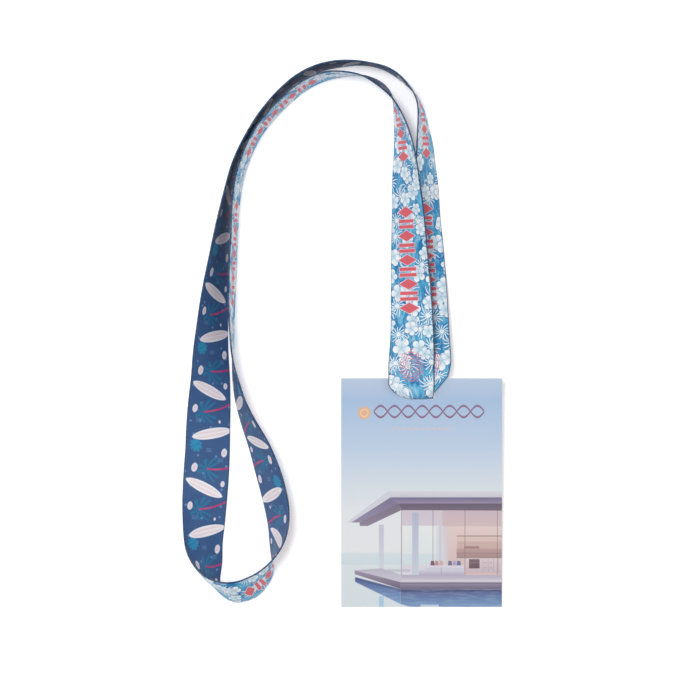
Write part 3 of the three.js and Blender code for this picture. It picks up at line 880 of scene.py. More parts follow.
@dataclass(frozen=True)
class FlowerPrint:
    """The outer face: blue water, pale flowers and fronds, a coral border and two rosettes."""

    first_border: float
    last_border: float
    rosettes: tuple[float, float]
    border_every: float = 66.0
    border_length: float = 47.0
    border_centre: float = 9.2
    width: float = 20.0

    def scatter(self, shop: Shop, place: Wire, spacing: float, shift: float) -> tuple[Wire, Wire, Wire]:
        """Radius and angle about the nearest of many scattered centres, and a random share for that centre.

        Args:
            shop: The material being made.
            place: The print's own coordinates, in millimetres.
            spacing: Mean distance between centres, in millimetres.
            shift: How far this layer's centres are moved, in millimetres.

        Returns:
            The radius, the angle and the share.
        """
        moved = place.shifted((shift, shift * 0.61, 0.0))
        settings = {"voronoi_dimensions": "2D"}
        inputs = {"Vector": moved, "Scale": 1 / spacing, "Randomness": 0.7}
        cells = shop.node("ShaderNodeTexVoronoi", settings, inputs, "Position")
        chance = shop.node("ShaderNodeTexVoronoi", settings, inputs, "Color")
        x, y = shop.split(moved.shifted(cells, "SUBTRACT"))
        radius = shop.join(x, y).length()
        spin, share = shop.split(chance)
        return radius, x.math("ARCTAN2", y) + spin * 6.283, share

    def flowers(
        self, shop: Shop, below: Wire, place: Wire, size: float, spacing: float, shift: float
    ) -> Wire:
        """Five-petalled flowers: the outline's radius is the size times a mean plus the size of a cosine.

        Args:
            shop: The material being made.
            below: The colour so far.
            place: The print's own coordinates, in millimetres.
            size: Its size in millimetres.
            spacing: Mean distance between centres, in millimetres.
            shift: How far this layer's centres are moved, in millimetres.

        Returns:
            The colour with it added.
        """
        radius, angle, share = self.scatter(shop, place, spacing, shift)
        petal = abs((angle * 2.5).math("COSINE")) ** 0.5
        outline = (petal * 0.46 + 0.56) * size * (share * 0.35 + 0.8)
        inside = (outline - radius).over(4) * (share - 0.12).over(1000)
        out = (radius * (1 / size)).math("MINIMUM", 1.0)
        shade = shop.blend(out ** 0.7, ink(160, 206, 230), ink(252, 253, 253))
        vein = (0.5 - petal).over(4) * (radius - size * 0.15).over(4)
        shade = shop.blend(vein * 0.6, shade, ink(134, 190, 218))
        shade = shop.blend((size * 0.13 - radius).over(6) * 0.6, shade, ink(190, 196, 176))
        rim = (outline + 0.5 - radius).over(2.5) * (share - 0.12).over(1000) * 0.4
        return shop.blend(inside * 0.96, shop.blend(rim, below, ink(24, 112, 172)), shade)

    def fronds(
        self, shop: Shop, below: Wire, place: Wire, size: float, spacing: float, shift: float
    ) -> Wire:
        """Bursts of thin leaves: rays that narrow towards their tips and sweep a little sideways.

        Args:
            shop: The material being made.
            below: The colour so far.
            place: The print's own coordinates, in millimetres.
            size: Its size in millimetres.
            spacing: Mean distance between centres, in millimetres.
            shift: How far this layer's centres are moved, in millimetres.

        Returns:
            The colour with it added.
        """
        radius, angle, share = self.scatter(shop, place, spacing, shift)
        here = (share - 0.25).over(1000)
        sweep = (angle + radius * 0.1) * (13 / 6.283)
        ray = abs(sweep.math("FRACT") - 0.5) * 2
        reach = (angle * 4 + share * 9).math("SINE") * (size * 0.2) + size * 0.82
        leaf = (0.6 - radius * (0.52 / size) - ray).over(5) * (reach - radius).over(3) * here
        shadow = (0.92 - radius * (0.5 / size) - ray).over(3) * (reach + 0.4 - radius).over(3) * here
        core = (size * 0.2 - radius).over(3) * here
        under = shop.blend(shadow * 0.4, below, ink(40, 116, 170))
        return shop.blend(leaf.most(core) * 0.94, under, ink(240, 249, 252))

    def twigs(self, shop: Shop, below: Wire, place: Wire) -> Wire:
        """Dark leaf shadows: broad rays in a deeper blue.

        Args:
            shop: The material being made.
            below: The colour so far.
            place: The print's own coordinates, in millimetres.

        Returns:
            The colour with it added.
        """
        radius, angle, share = self.scatter(shop, place, 10.5, 129.0)
        ray = abs((angle * (7 / 6.283) + radius * 0.12).math("FRACT") - 0.5) * 2
        leaf = (0.62 - radius * 0.09 - ray).over(3) * (5.2 - radius).over(1.5) * (share - 0.3).over(1000)
        return shop.blend(leaf * 0.6, below, ink(44, 118, 172))

    def curls(self, shop: Shop, below: Wire, place: Wire) -> Wire:
        """Breaking waves: a spiral band whose edge is dark.

        Args:
            shop: The material being made.
            below: The colour so far.
            place: The print's own coordinates, in millimetres.

        Returns:
            The colour with it added.
        """
        radius, angle, share = self.scatter(shop, place, 13.0, 40.0)
        spiral = abs((angle * (1 / 6.283) + radius * 0.42).math("FRACT") - 0.5)
        inside = (3.1 - radius).over(3) * (radius - 0.5).over(4) * (share - 0.35).over(1000)
        edge = (0.3 - spiral).over(8) * inside
        foam = (0.2 - spiral).over(9) * inside
        return shop.blend(foam * 0.9, shop.blend(edge * 0.7, below, ink(34, 100, 156)), ink(206, 230, 242))

    def border_shape(self, shop: Shop, along: Wire, across: Wire) -> Wire:
        """How far inside the border's lozenges and bars a place is, in millimetres.

        Args:
            shop: The material being made; not used.
            along: Millimetres along the ribbon.
            across: Millimetres across it.

        Returns:
            The distance, negative outside.
        """
        step = self.border_length / 9
        local = (along - step / 2).wrapped(step)
        turn_about = (along / (step * 2)).math("FRACT") - 0.5
        lozenge = 2.35 - abs(local) - abs(across) * 0.5
        bars = (0.72 - abs(abs(local) - 1.25)).least(4.3 - abs(across))
        return lozenge + (bars - lozenge) * turn_about.over(1000)

    def rosette(self, shop: Shop, below: Wire, along: Wire, across: Wire, centre: float) -> Wire:
        """An oval ornament of thin scalloped pink bands.

        Args:
            shop: The material being made.
            below: The colour so far.
            along: Millimetres along the ribbon.
            across: Millimetres across it.
            centre: Its centre along the ribbon.

        Returns:
            The colour with it added.
        """
        x, y = along - centre, across - self.width / 2
        radius = shop.join(x * 0.72, y).length()
        angle = x.math("ARCTAN2", y)
        scallop = (angle * 9).math("SINE") * 0.3
        band = abs(((radius + scallop) * 0.95).math("FRACT") - 0.5)
        inside = (5.3 + scallop - radius).over(5)
        cut = (abs((angle * (12 / 6.283) + radius * 0.19).math("FRACT") - 0.5) - 0.09).over(7)
        tint = shop.blend((radius - 2.2).over(1), ink(150, 104, 150), ink(226, 108, 124))
        return shop.blend((0.19 - band).over(8) * inside * cut * 0.92, below, tint)

    def make(self) -> bpy.types.Material:
        """The outer face's material.

        Returns:
            The material.
        """
        shop = Shop("ribbon_flowers")
        place = shop.attribute("print_place")
        along, across = shop.split(place)
        wander = shop.noise(place, 0.16, 3, True).shifted((-0.5, -0.5, -0.5)).shifted((5, 5, 0), "MULTIPLY")
        cloud = shop.noise(place.shifted(wander), 0.14, 3)
        water = shop.node(
            "ShaderNodeValToRGB",
            {
                "stops": [
                    (0.34, ink(26, 118, 176)),
                    (0.46, ink(58, 154, 202)),
                    (0.58, ink(92, 178, 216)),
                    (0.72, ink(150, 206, 228)),
                ]
            },
            [cloud],
        )
        streak_place = place.shifted(wander).shifted((0.25, 1.2, 1.0), "MULTIPLY")
        streaks = shop.noise(streak_place, 0.7, 3)
        colour = shop.blend((streaks - 0.57).over(7) * 0.5, water, ink(176, 216, 236))
        colour = shop.blend((0.42 - streaks).over(8) * 0.5, colour, ink(40, 122, 180))
        colour = self.twigs(shop, colour, place)
        colour = self.fronds(shop, colour, place, 5.6, 11.0, 11.0)
        colour = self.curls(shop, colour, place)
        colour = self.flowers(shop, colour, place, 3.5, 11.0, 3.0)
        colour = self.fronds(shop, colour, place, 4.8, 13.0, 67.0)
        colour = self.flowers(shop, colour, place, 2.9, 10.0, 91.0)
        run = (along - self.first_border).math("WRAP", self.border_every, 0.0)
        shape = self.border_shape(shop, run, across - self.border_centre)
        between = (along - self.first_border).least(self.last_border - along) + 0.5
        on = (self.border_length - run).over(1000) * between.over(1000)
        colour = shop.blend((shape + 0.3).over(6) * on * 0.8, colour, ink(232, 214, 224))
        colour = shop.blend(shape.over(9) * on, colour, ink(222, 100, 110))
        for centre in self.rosettes:
            colour = self.rosette(shop, colour, along, across, centre)
        edge = (abs(across - self.width / 2) - self.width / 2 + 0.42).over(6)
        colour = shop.blend(edge * 0.9, colour, ink(30, 56, 98))
        finish_weave(shop, place, colour)
        return shop.material


@dataclass(frozen=True)
class BeachPrint:
    """The inner face: surfboards, palms, shells and leaves on navy, repeated along the ribbon."""

    board_at: float
    every: float = 42.6
    width: float = 20.0

    def local(
        self, shop: Shop, place: tuple[Wire, Wire], s: float, t: float, turned: float
    ) -> tuple[Wire, Wire]:
        """Coordinates about a centre that repeats along the ribbon, turned by some degrees.

        Args:
            shop: The material being made.
            place: Millimetres along and across.
            s: Its centre along the ribbon from the board's, in millimetres.
            t: Its centre across the ribbon, in millimetres.
            turned: Its turn in degrees.

        Returns:
            The two coordinates.
        """
        along = (place[0] - (self.board_at + s)).wrapped(self.every)
        point = shop.join(along, place[1], 1.0)
        c, d = math.cos(math.radians(turned)), math.sin(math.radians(turned))
        return point.along(c, d, -t * d), point.along(-d, c, -t * c)

    def board(
        self, shop: Shop, below: Wire, place: tuple[Wire, Wire], s: float, t: float, turned: float
    ) -> Wire:
        """A surfboard: white with pale pink stripes, its outline a long blunt oval.

        Args:
            shop: The material being made.
            below: The colour so far.
            place: Millimetres along and across.
            s: Its centre along the ribbon from the board's, in millimetres.
            t: Its centre across the ribbon, in millimetres.
            turned: Its turn in degrees.

        Returns:
            The colour with it added.
        """
        u, v = self.local(shop, place, s, t, turned)
        room = (1 - abs(u / 9.0) ** 2.2 - abs(v / 2.3) ** 1.6) * 1.6
        colour = shop.blend(room.over(5), below, ink(242, 240, 244))
        stripes = (0.5 - abs(abs(v) - 0.85)).over(4) * (room - 0.45).over(6)
        return shop.blend(stripes * 0.45, colour, ink(236, 196, 200))

    def palm(
        self, shop: Shop, below: Wire, place: tuple[Wire, Wire], s: float, t: float, turned: float
    ) -> Wire:
        """A palm: broad drooping teal leaves with cut edges, and a dotted magenta trunk to the lower edge.

        Args:
            shop: The material being made.
            below: The colour so far.
            place: Millimetres along and across.
            s: Its centre along the ribbon from the board's, in millimetres.
            t: Its centre across the ribbon, in millimetres.
            turned: Its turn in degrees.

        Returns:
            The colour with it added.
        """
        u, v = self.local(shop, place, s, t, turned)
        drooped = shop.join(u, v + abs(u) * abs(u) * 0.09)
        radius = drooped.length()
        x, y = shop.split(drooped)
        angle = x.math("ARCTAN2", y)
        ray = abs((angle * (9 / 6.283) + radius * 0.03).math("FRACT") - 0.5) * 2
        cuts = (abs((radius * 1.3).math("FRACT") - 0.5) - 0.25) * 0.5
        reach = abs((angle * 0.5).math("SINE")) * 1.2 + 4.5
        leaf = (0.8 - radius * 0.09 - ray + cuts).over(4) * (reach - radius).over(2.5)
        colour = shop.blend(leaf * 0.8, below, ink(42, 126, 166))
        trunk = (0.42 - abs(u - v * v * 0.02)).over(6) * (-v).over(3)
        dots = (abs((v * 0.8).math("FRACT") - 0.5) - 0.16).over(8) * 0.7 + 0.3
        return shop.blend(trunk * dots, colour, ink(208, 52, 112))

    def shell(
        self, shop: Shop, below: Wire, place: tuple[Wire, Wire], s: float, t: float, size: float
    ) -> Wire:
        """A shell: a small white oval with a faint pink middle.

        Args:
            shop: The material being made.
            below: The colour so far.
            place: Millimetres along and across.
            s: Its centre along the ribbon from the board's, in millimetres.
            t: Its centre across the ribbon, in millimetres.
            size: Its size in millimetres.

        Returns:
            The colour with it added.
        """
        u, v = self.local(shop, place, s, t, 8)
        radius = shop.join(u * (1 / size), v * (1.4 / size)).length() + (u * v).math("SINE") * 0.12
        colour = shop.blend((1 - radius).over(3.5 * size), below, ink(230, 224, 234))
        return shop.blend((0.45 - radius).over(3 * size) * 0.45, colour, ink(222, 178, 190))

    def leaf(self, shop: Shop, below: Wire, place: tuple[Wire, Wire], s: float, t: float) -> Wire:
        """A broad split leaf: a disc notched by the crest of a cosine.

        Args:
            shop: The material being made.
            below: The colour so far.
            place: Millimetres along and across.
            s: Its centre along the ribbon from the board's, in millimetres.
            t: Its centre across the ribbon, in millimetres.

        Returns:
            The colour with it added.
        """
        u, v = self.local(shop, place, s, t, 20)
        radius = shop.join(u, v * 1.15).length()
        angle = u.math("ARCTAN2", v)
        notch = ((angle * 9).math("COSINE") - 0.25).most(0.0)
        outline = 3.1 - notch * 1.3 - (angle.math("COSINE") * 0.35)
        colour = shop.blend((outline - radius).over(3.5) * 0.9, below, ink(48, 146, 190))
        rib = (0.16 - abs(u)).over(7) * (2.4 - radius).over(4)
        return shop.blend(rib * 0.5, colour, ink(32, 92, 148))

    def marks(self, shop: Shop, below: Wire, place: tuple[Wire, Wire], s: float, t: float) -> Wire:
        """Short pale strokes side by side.

        Args:
            shop: The material being made.
            below: The colour so far.
            place: Millimetres along and across.
            s: Its centre along the ribbon from the board's, in millimetres.
            t: Its centre across the ribbon, in millimetres.

        Returns:
            The colour with it added.
        """
        u, v = self.local(shop, place, s, t, 85)
        strokes = (0.13 - abs(v.wrapped(0.62))).over(6) * (1.2 - abs(u)).over(4) * (0.9 - abs(v)).over(6)
        return shop.blend(strokes * 0.5, below, ink(120, 166, 214))

    def make(self) -> bpy.types.Material:
        """The inner face's material.

        Returns:
            The material.
        """
        shop = Shop("ribbon_beach")
        attribute = shop.attribute("print_place")
        place = shop.split(attribute)
        cloud = shop.noise(attribute, 0.09, 3)
        colour = shop.blend(cloud, ink(52, 82, 126), ink(72, 106, 154))
        speck_settings = {"voronoi_dimensions": "2D"}
        speck_inputs = {"Vector": attribute, "Scale": 1 / 7.5, "Randomness": 0.9}
        specks = shop.node("ShaderNodeTexVoronoi", speck_settings, speck_inputs, "Distance")
        colour = shop.blend((0.075 - specks).over(30) * 0.6, colour, ink(120, 160, 214))
        colour = self.leaf(shop, colour, place, -24, 15.6)
        for s, t in ((-13, 14.5), (-30.2, 4.2), (-26, 9.5)):
            colour = self.marks(shop, colour, place, s, t)
        colour = self.palm(shop, colour, place, -9.4, 12.4, 3)
        colour = self.palm(shop, colour, place, -34.2, 9.8, -6)
        colour = self.board(shop, colour, place, 0, 10.6, 66)
        colour = self.board(shop, colour, place, -18.8, 8.4, 101)
        for s, t, size in (
            (-33.8, 15.4, 1.9), (-8, 16.6, 1.7), (-40.6, 2.6, 1.3), (-27, 2.6, 1.8), (-13.6, 5, 0.7),
        ):
            colour = self.shell(shop, colour, place, s, t, size)
        edge = (abs(place[1] - self.width / 2) - self.width / 2 + 0.42).over(6)
        colour = shop.blend(edge * 0.8, colour, ink(24, 38, 70))
        finish_weave(shop, attribute, colour)
        return shop.material


def finish_weave(shop: Shop, place: Wire, colour: Wire) -> None:
    """Satin ribbon: fine cross threads and a little unevenness, in colour, roughness and bump.

    Args:
        shop: The material being made.
        place: The print's own coordinates, in millimetres.
        colour: The print's colour.
    """
    along, across = shop.split(place)
    threads = (along * 9.0).math("SINE") * 0.5 + (across * 14.0).math("SINE") * 0.5
    uneven = shop.noise(place, 0.35, 3)
    shade = shop.blend(threads * 0.03 + 0.03, colour, ink(30, 50, 80))
    height = threads * 0.35 + uneven * 0.8
    shop.set(
        Base_Color=shade,
        Roughness=uneven * 0.12 + 0.5,
        Specular_IOR_Level=0.2,
        Sheen_Weight=0.03,
        Normal=shop.bump(height, 0.35, 0.00012),
    )


@dataclass(frozen=True)
class Patch:
    """A flat patch of the card's picture.

    Its corners are in millimetres, anticlockwise, and never turn inwards. Its colour is the one at its lower
    side, and fades to the upper one where that is given.
    """

    corners: tuple[tuple[float, float], ...]
    colour: tuple[float, float, float, float]
    strength: float = 1.0
    upper: tuple[float, float, float, float] | None = None
    crisp: float = 7.0

    def painted(self, shop: Shop, below: Wire, point: Wire) -> Wire:
        """The patch over what is below: the least of the distances inside its sides makes its mask.

        Args:
            shop: The material being made.
            below: The colour so far.
            point: A plane point (x, y, 1) on the card, in millimetres.

        Returns:
            The colour with the patch on it.
        """
        inside: Wire | None = None
        for (x0, y0), (x1, y1) in zip(self.corners, self.corners[1:] + self.corners[:1]):
            run = math.hypot(x1 - x0, y1 - y0)
            a, b = -(y1 - y0) / run, (x1 - x0) / run
            depth = point.along(a, b, -(a * x0 + b * y0))
            inside = depth if inside is None else inside.least(depth)
        return shop.blend(inside.over(self.crisp) * self.strength, below, self.tint(shop, point))

    def tint(self, shop: Shop, point: Wire) -> "Wire | tuple[float, float, float, float]":
        """The patch's colour, which may fade upwards.

        Args:
            shop: The material being made.
            point: A plane point (x, y, 1) on the card, in millimetres.

        Returns:
            A plain colour or a fading one.
        """
        if self.upper is None:
            return self.colour
        heights = [y for _, y in self.corners]
        tall = max(heights) - min(heights)
        share = point.along(0.0, 1 / tall, -min(heights) / tall).math("MINIMUM", 1.0, clamp=True)
        return shop.blend(share, self.colour, self.upper)


def upright(left: float, right: float, low: float, high: float) -> tuple[tuple[float, float], ...]:
    """The corners of an upright rectangle, anticlockwise."""
    return ((left, low), (right, low), (right, high), (left, high))


@dataclass(frozen=True)
class CardPrint:
    """The card's front: a pale sky, a glazed pavilion over water, and a plain ornament at its head."""

    width: float = 70.0
    length: float = 100.0

    def setting(self) -> list[Patch]:
        """Sea, shore and the glazed room, from back to front.

        Returns:
            The patches.
        """
        return [
            Patch(upright(-1, 71, -1, 24), ink(206, 216, 222), 0.85, ink(212, 220, 222), 1.2),
            Patch(upright(-1, 71, 18.6, 23.6), ink(196, 213, 218), 0.8, ink(206, 219, 223), 1.6),
            Patch(upright(16.4, 18.6, 14, 36), ink(206, 210, 220), 0.9, ink(190, 188, 206)),
            Patch(upright(26.2, 71, 13.2, 42.8), ink(214, 212, 220), 1.0, ink(204, 192, 204)),
            Patch(upright(26.6, 44.6, 18.4, 35.6), ink(214, 224, 226), 0.9, ink(230, 231, 230)),
            Patch(upright(26.6, 44.6, 18.4, 23.2), ink(196, 214, 220), 0.6),
            Patch(upright(41.5, 46.5, 14, 42.5), ink(210, 208, 216), 0.7, ink(206, 196, 206), 0.5),
            Patch(upright(46, 71, 13.2, 35.8), ink(206, 180, 180), 0.95, ink(222, 200, 196), 0.6),
            Patch(upright(44, 71, 35.4, 42.5), ink(206, 180, 180), 0.8, ink(198, 176, 186)),
        ]

    def kitchen(self) -> list[Patch]:
        """The kitchen at the back of the room.

        Returns:
            The patches.
        """
        doors = [
            Patch(upright(x, x + 0.16, 15.4, 21), ink(150, 132, 146), 0.7)
            for x in (61.6, 63.9, 66.2, 68.3)
        ]
        handles = [
            Patch(upright(x, x + 1.0, y, y + 0.3), ink(110, 90, 110), 0.6)
            for x in (62.2, 64.6) for y in (17, 19.2)
        ]
        return [
            Patch(upright(50.4, 71, 25.6, 31.1), ink(206, 178, 172), 0.9, ink(216, 190, 182)),
            Patch(upright(50.2, 71, 30.9, 31.3), ink(120, 88, 96), 0.8),
            Patch(upright(50.4, 71, 25.4, 28.6), ink(196, 166, 160), 0.7),
            Patch(upright(53.5, 60, 25.6, 26.6), ink(150, 112, 112), 0.8),
            Patch(upright(50.2, 71, 21.4, 25.6), ink(162, 132, 134), 1.0, ink(186, 154, 150)),
            Patch(upright(50.2, 71, 23.4, 23.7), ink(136, 104, 110), 0.6),
            Patch(upright(54.4, 71, 15, 21.2), ink(196, 178, 186), 1.0, ink(214, 198, 202)),
            *doors,
            *handles,
            Patch(upright(55.6, 60.2, 16.9, 21), ink(70, 44, 58), 0.9, ink(104, 76, 88)),
            Patch(upright(55.9, 59.9, 19.2, 19.5), ink(150, 118, 120), 0.7),
        ]

    def seating(self) -> list[Patch]:
        """The columns, the glazing bars and the sofa.

        Returns:
            The patches.
        """
        bars = [
            Patch(upright(x, x + 0.26, 13.4, 42.4), ink(124, 92, 112), 0.75)
            for x in (26.1, 39.8, 53.7, 67.8)
        ]
        cushions = [
            Patch(((x, 17.9), (x + 1.9, 17.9), (x + 1.7, 20.1), (x + 0.3, 20.3)), tint)
            for x, tint in (
                (38.8, ink(128, 82, 92)),
                (40.6, ink(176, 140, 150)),
                (42.6, ink(204, 168, 164)),
                (46.4, ink(116, 108, 142)),
                (48.4, ink(170, 164, 190)),
                (50.2, ink(108, 106, 150)),
            )
        ]
        return [
            Patch(upright(30.9, 33.7, 12.6, 41.4), ink(196, 202, 216), 0.95, ink(176, 180, 204)),
            Patch(upright(42.6, 43.6, 14, 35.6), ink(190, 194, 210), 0.6),
            *bars,
            *cushions,
            Patch(upright(36.4, 53.4, 16.2, 18.2), ink(196, 192, 210), 1.0, ink(218, 214, 224)),
            Patch(upright(33.8, 53.4, 14, 16.3), ink(174, 168, 190), 1.0, ink(206, 202, 216)),
            Patch(upright(43.4, 43.6, 14.2, 17.6), ink(140, 132, 156), 0.7),
            Patch(upright(20, 30, 15.4, 16.6), ink(176, 170, 192), 0.6),
        ]

    def roof(self) -> list[Patch]:
        """The roof's slab, fascia and soffit.

        Returns:
            The patches.
        """
        return [
            Patch(((2.7, 37.2), (4.4, 37), (21.5, 47.9), (20.6, 50.8)), ink(206, 206, 216)),
            Patch(
                ((20.6, 50.8), (21.5, 47.9), (71, 47.9), (71, 50.7)),
                ink(196, 196, 208),
                1.0,
                ink(212, 211, 219),
            ),
            Patch(
                ((4.4, 37), (8.1, 37), (25, 45.3), (21.5, 48)), ink(142, 134, 160), 1.0, ink(118, 108, 142),
            ),
            Patch(
                ((21.5, 48), (25, 45.2), (71, 45.2), (71, 48)), ink(146, 136, 160), 1.0, ink(112, 102, 138),
            ),
            Patch(
                ((8.1, 37.1), (8.1, 35.5), (11.7, 35.5), (26.4, 42.5), (25, 45.4)),
                ink(138, 126, 146),
                1.0,
                ink(116, 104, 126),
            ),
            Patch(
                ((25, 45.3), (26.4, 42.4), (71, 42.2), (71, 45.3)),
                ink(112, 98, 116),
                1.0,
                ink(98, 84, 104),
            ),
        ]

    def deck(self) -> list[Patch]:
        """The deck, its edge, and the pavilion's reflection in the water.

        Returns:
            The patches.
        """
        return [
            Patch(
                ((5.9, 16.1), (25.9, 10.9), (26.4, 14.1), (17.5, 17)),
                ink(198, 193, 206),
                1.0,
                ink(182, 176, 192),
            ),
            Patch(
                ((25.8, 10.9), (71, 10.9), (71, 13.9), (26.3, 14.1)),
                ink(202, 197, 209),
                1.0,
                ink(176, 168, 186),
            ),
            Patch(upright(26, 71, 11.5, 11.9), ink(224, 220, 229), 0.6),
            Patch(
                ((5.9, 16.1), (5.9, 14.4), (25.9, 7.9), (25.9, 10.9)),
                ink(104, 92, 118),
                1.0,
                ink(150, 140, 162),
            ),
            Patch(
                ((25.9, 10.9), (25.9, 7.9), (71, 7.9), (71, 10.9)),
                ink(100, 88, 114),
                1.0,
                ink(152, 142, 166),
            ),
            Patch(((25.9, 10.7), (25.9, 10.2), (71, 10.2), (71, 10.7)), ink(84, 70, 94), 0.5),
            Patch(
                ((6.1, 13.1), (6.1, 10.9), (17.1, 5.6), (25.8, 1.3), (25.8, 7.9)),
                ink(118, 152, 196),
                1.0,
                ink(66, 84, 140),
                2.5,
            ),
            Patch(
                ((25.8, 7.9), (25.8, 1.3), (31.9, -0.4), (71, -1), (71, 7.8)),
                ink(120, 156, 198),
                1.0,
                ink(72, 82, 134),
                2.5,
            ),
            Patch(((6.1, 12.2), (25.8, 6.6), (25.8, 7.9), (6.1, 13.1)), ink(62, 66, 108), 0.5, None, 2.0),
            Patch(upright(25.8, 71, 6.6, 7.8), ink(62, 64, 106), 0.6, None, 2.0),
            Patch(upright(16.5, 18.6, -1, 4.8), ink(150, 190, 220), 0.8),
            Patch(upright(34.5, 42.5, -1, 1.1), ink(206, 218, 226), 0.7),
        ]

    def patches(self) -> list[Patch]:
        """The whole picture from back to front."""
        return [*self.setting(), *self.kitchen(), *self.seating(), *self.roof(), *self.deck()]

    def head(self, shop: Shop, below: Wire, x: Wire, y: Wire) -> Wire:
        """The ornament: an orange disc, a chain of two crossing waves and a row of beads.

        Args:
            shop: The material being made.
            below: The colour so far.
            x: Millimetres from the left edge.
            y: Millimetres from the foot.

        Returns:
            The colour with it added.
        """
        disc = shop.join(x - 10.1, y - 84.9).length()
        colour = shop.blend((2.75 - disc).over(4), below, ink(226, 176, 138))
        colour = shop.blend((0.22 - abs(disc - 1.6)).over(8) * 0.7, colour, ink(246, 214, 188))
        wave = ((x - 14.2) * (math.pi / 6)).math("SINE") * 2.5
        strands = abs(y - 85.5 - wave).least(abs(y - 85.5 + wave))
        chain = (0.5 - strands).over(4) * (24.0 - abs(x - 38.2)).over(4)
        colour = shop.blend(chain * 0.85, colour, ink(128, 72, 112))
        bead = shop.join((x - 35).wrapped(2.6), y - 77.9).length()
        beads = (0.62 - bead).over(5) * (13.2 - abs(x - 35)).over(4)
        return shop.blend(beads * 0.75, colour, ink(222, 190, 184))

    def make(self) -> bpy.types.Material:
        """The front's material.

        Returns:
            The material.
        """
        shop = Shop("card_front")
        place = shop.attribute("card_place")
        x, y = shop.split(place)
        point = shop.join(x, y, 1.0)
        sky = shop.node(
            "ShaderNodeValToRGB",
            {
                "stops": [
                    (0.16, ink(226, 228, 229)),
                    (0.42, ink(224, 227, 230)),
                    (0.56, ink(206, 217, 227)),
                    (0.7, ink(185, 204, 226)),
                    (0.9, ink(160, 188, 219)),
                    (1.0, ink(180, 199, 221)),
                ]
            },
            [y / self.length],
        )
        haze = shop.noise(place, 0.03, 2)
        colour = shop.blend((haze - 0.5).over(1.2) * 0.12, sky, ink(214, 205, 220))
        for patch in self.patches():
            colour = patch.painted(shop, colour, point)
        colour = self.head(shop, colour, x, y)
        ripple = shop.noise(place.shifted((0.3, 2.2, 1), "MULTIPLY"), 0.6, 3)
        water = (8.0 - y).over(0.6)
        colour = shop.blend((ripple - 0.55).over(5) * water * 0.12, colour, ink(206, 222, 234))
        film = shop.noise(place, 0.5, 4)
        shop.set(
            Base_Color=colour,
            Roughness=film * 0.1 + 0.3,
            Specular_IOR_Level=0.4,
            Coat_Weight=0.25,
            Coat_Roughness=0.25,
            Normal=shop.bump(film, 0.12, 0.00006),
        )
        return shop.material


@dataclass(frozen=True)
class CardStock:
    """Plain white card: its back and its cut edge."""

    name: str
    colour: tuple[float, float, float, float]
    grain: float
    rough: float

    def make(self) -> bpy.types.Material:
        """White stock with a faint tooth.

        Returns:
            The material.
        """
        shop = Shop(self.name)
        place = shop.object_place()
        grain = shop.noise(place, self.grain, 4)
        shop.set(
            Base_Color=shop.blend(grain * 0.12, self.colour, ink(196, 200, 210)),
            Roughness=grain * 0.15 + self.rough,
            Normal=shop.bump(grain, 0.2, 0.00005),
        )
        return shop.material


@dataclass(frozen=True)
class Plating:
    """Metal: polished nickel or plain steel, with fine scratches and soft wear."""

    name: str
    colour: tuple[float, float, float, float]
    worn: tuple[float, float, float, float]
    rough: float

    def make(self) -> bpy.types.Material:
        """Metal whose roughness and tint change a little over it.

        Returns:
            The material.
        """
        shop = Shop(self.name)
        place = shop.object_place()
        wear = shop.noise(place, 320, 4)
        scratch = shop.noise(place.shifted((1.0, 0.12, 1.0), "MULTIPLY"), 2600, 3)
        shop.set(
            Base_Color=shop.blend((wear - 0.45).over(3) * 0.5, self.colour, self.worn),
            Metallic=1.0,
            Roughness=wear * 0.16 + scratch * 0.1 + self.rough,
            Normal=shop.bump(scratch + wear * 0.5, 0.25, 0.00002),
        )
        return shop.material


@dataclass(frozen=True)
class Thread:
    """Sewing thread, twisted from plies."""

    name: str
    colour: tuple[float, float, float, float]

    def make(self) -> bpy.types.Material:
        """Thread with its twist in colour and bump.

        Returns:
            The material.
        """
        shop = Shop(self.name)
        x, y = shop.split(shop.object_place())
        twist = ((x + y * 1.7) * 9000).math("SINE") * 0.5 + 0.5
        shop.set(
            Base_Color=shop.blend(twist * 0.6, self.colour, ink(60, 96, 140)),
            Roughness=0.62,
            Sheen_Weight=0.2,
            Normal=shop.bump(twist, 0.5, 0.00004),
        )
        return shop.material


class Finish(Enum):
    """The plain finishes by name."""

    NICKEL = Plating("nickel", ink(214, 210, 204), ink(176, 172, 166), 0.14)
    STEEL = Plating("steel", ink(176, 178, 180), ink(128, 130, 132), 0.26)
    THREAD = Thread("thread", ink(150, 192, 216))
    CARD_BACK = CardStock("card_back", ink(232, 234, 238), 900.0, 0.42)
    CARD_EDGE = CardStock("card_edge", ink(240, 240, 240), 2200.0, 0.6)

    def material(self) -> bpy.types.Material:
        """The finish's material, made once."""
        return bpy.data.materials.get(self.value.name) or self.value.make()


# ---------------------------------------------------------------- sub-assemblies


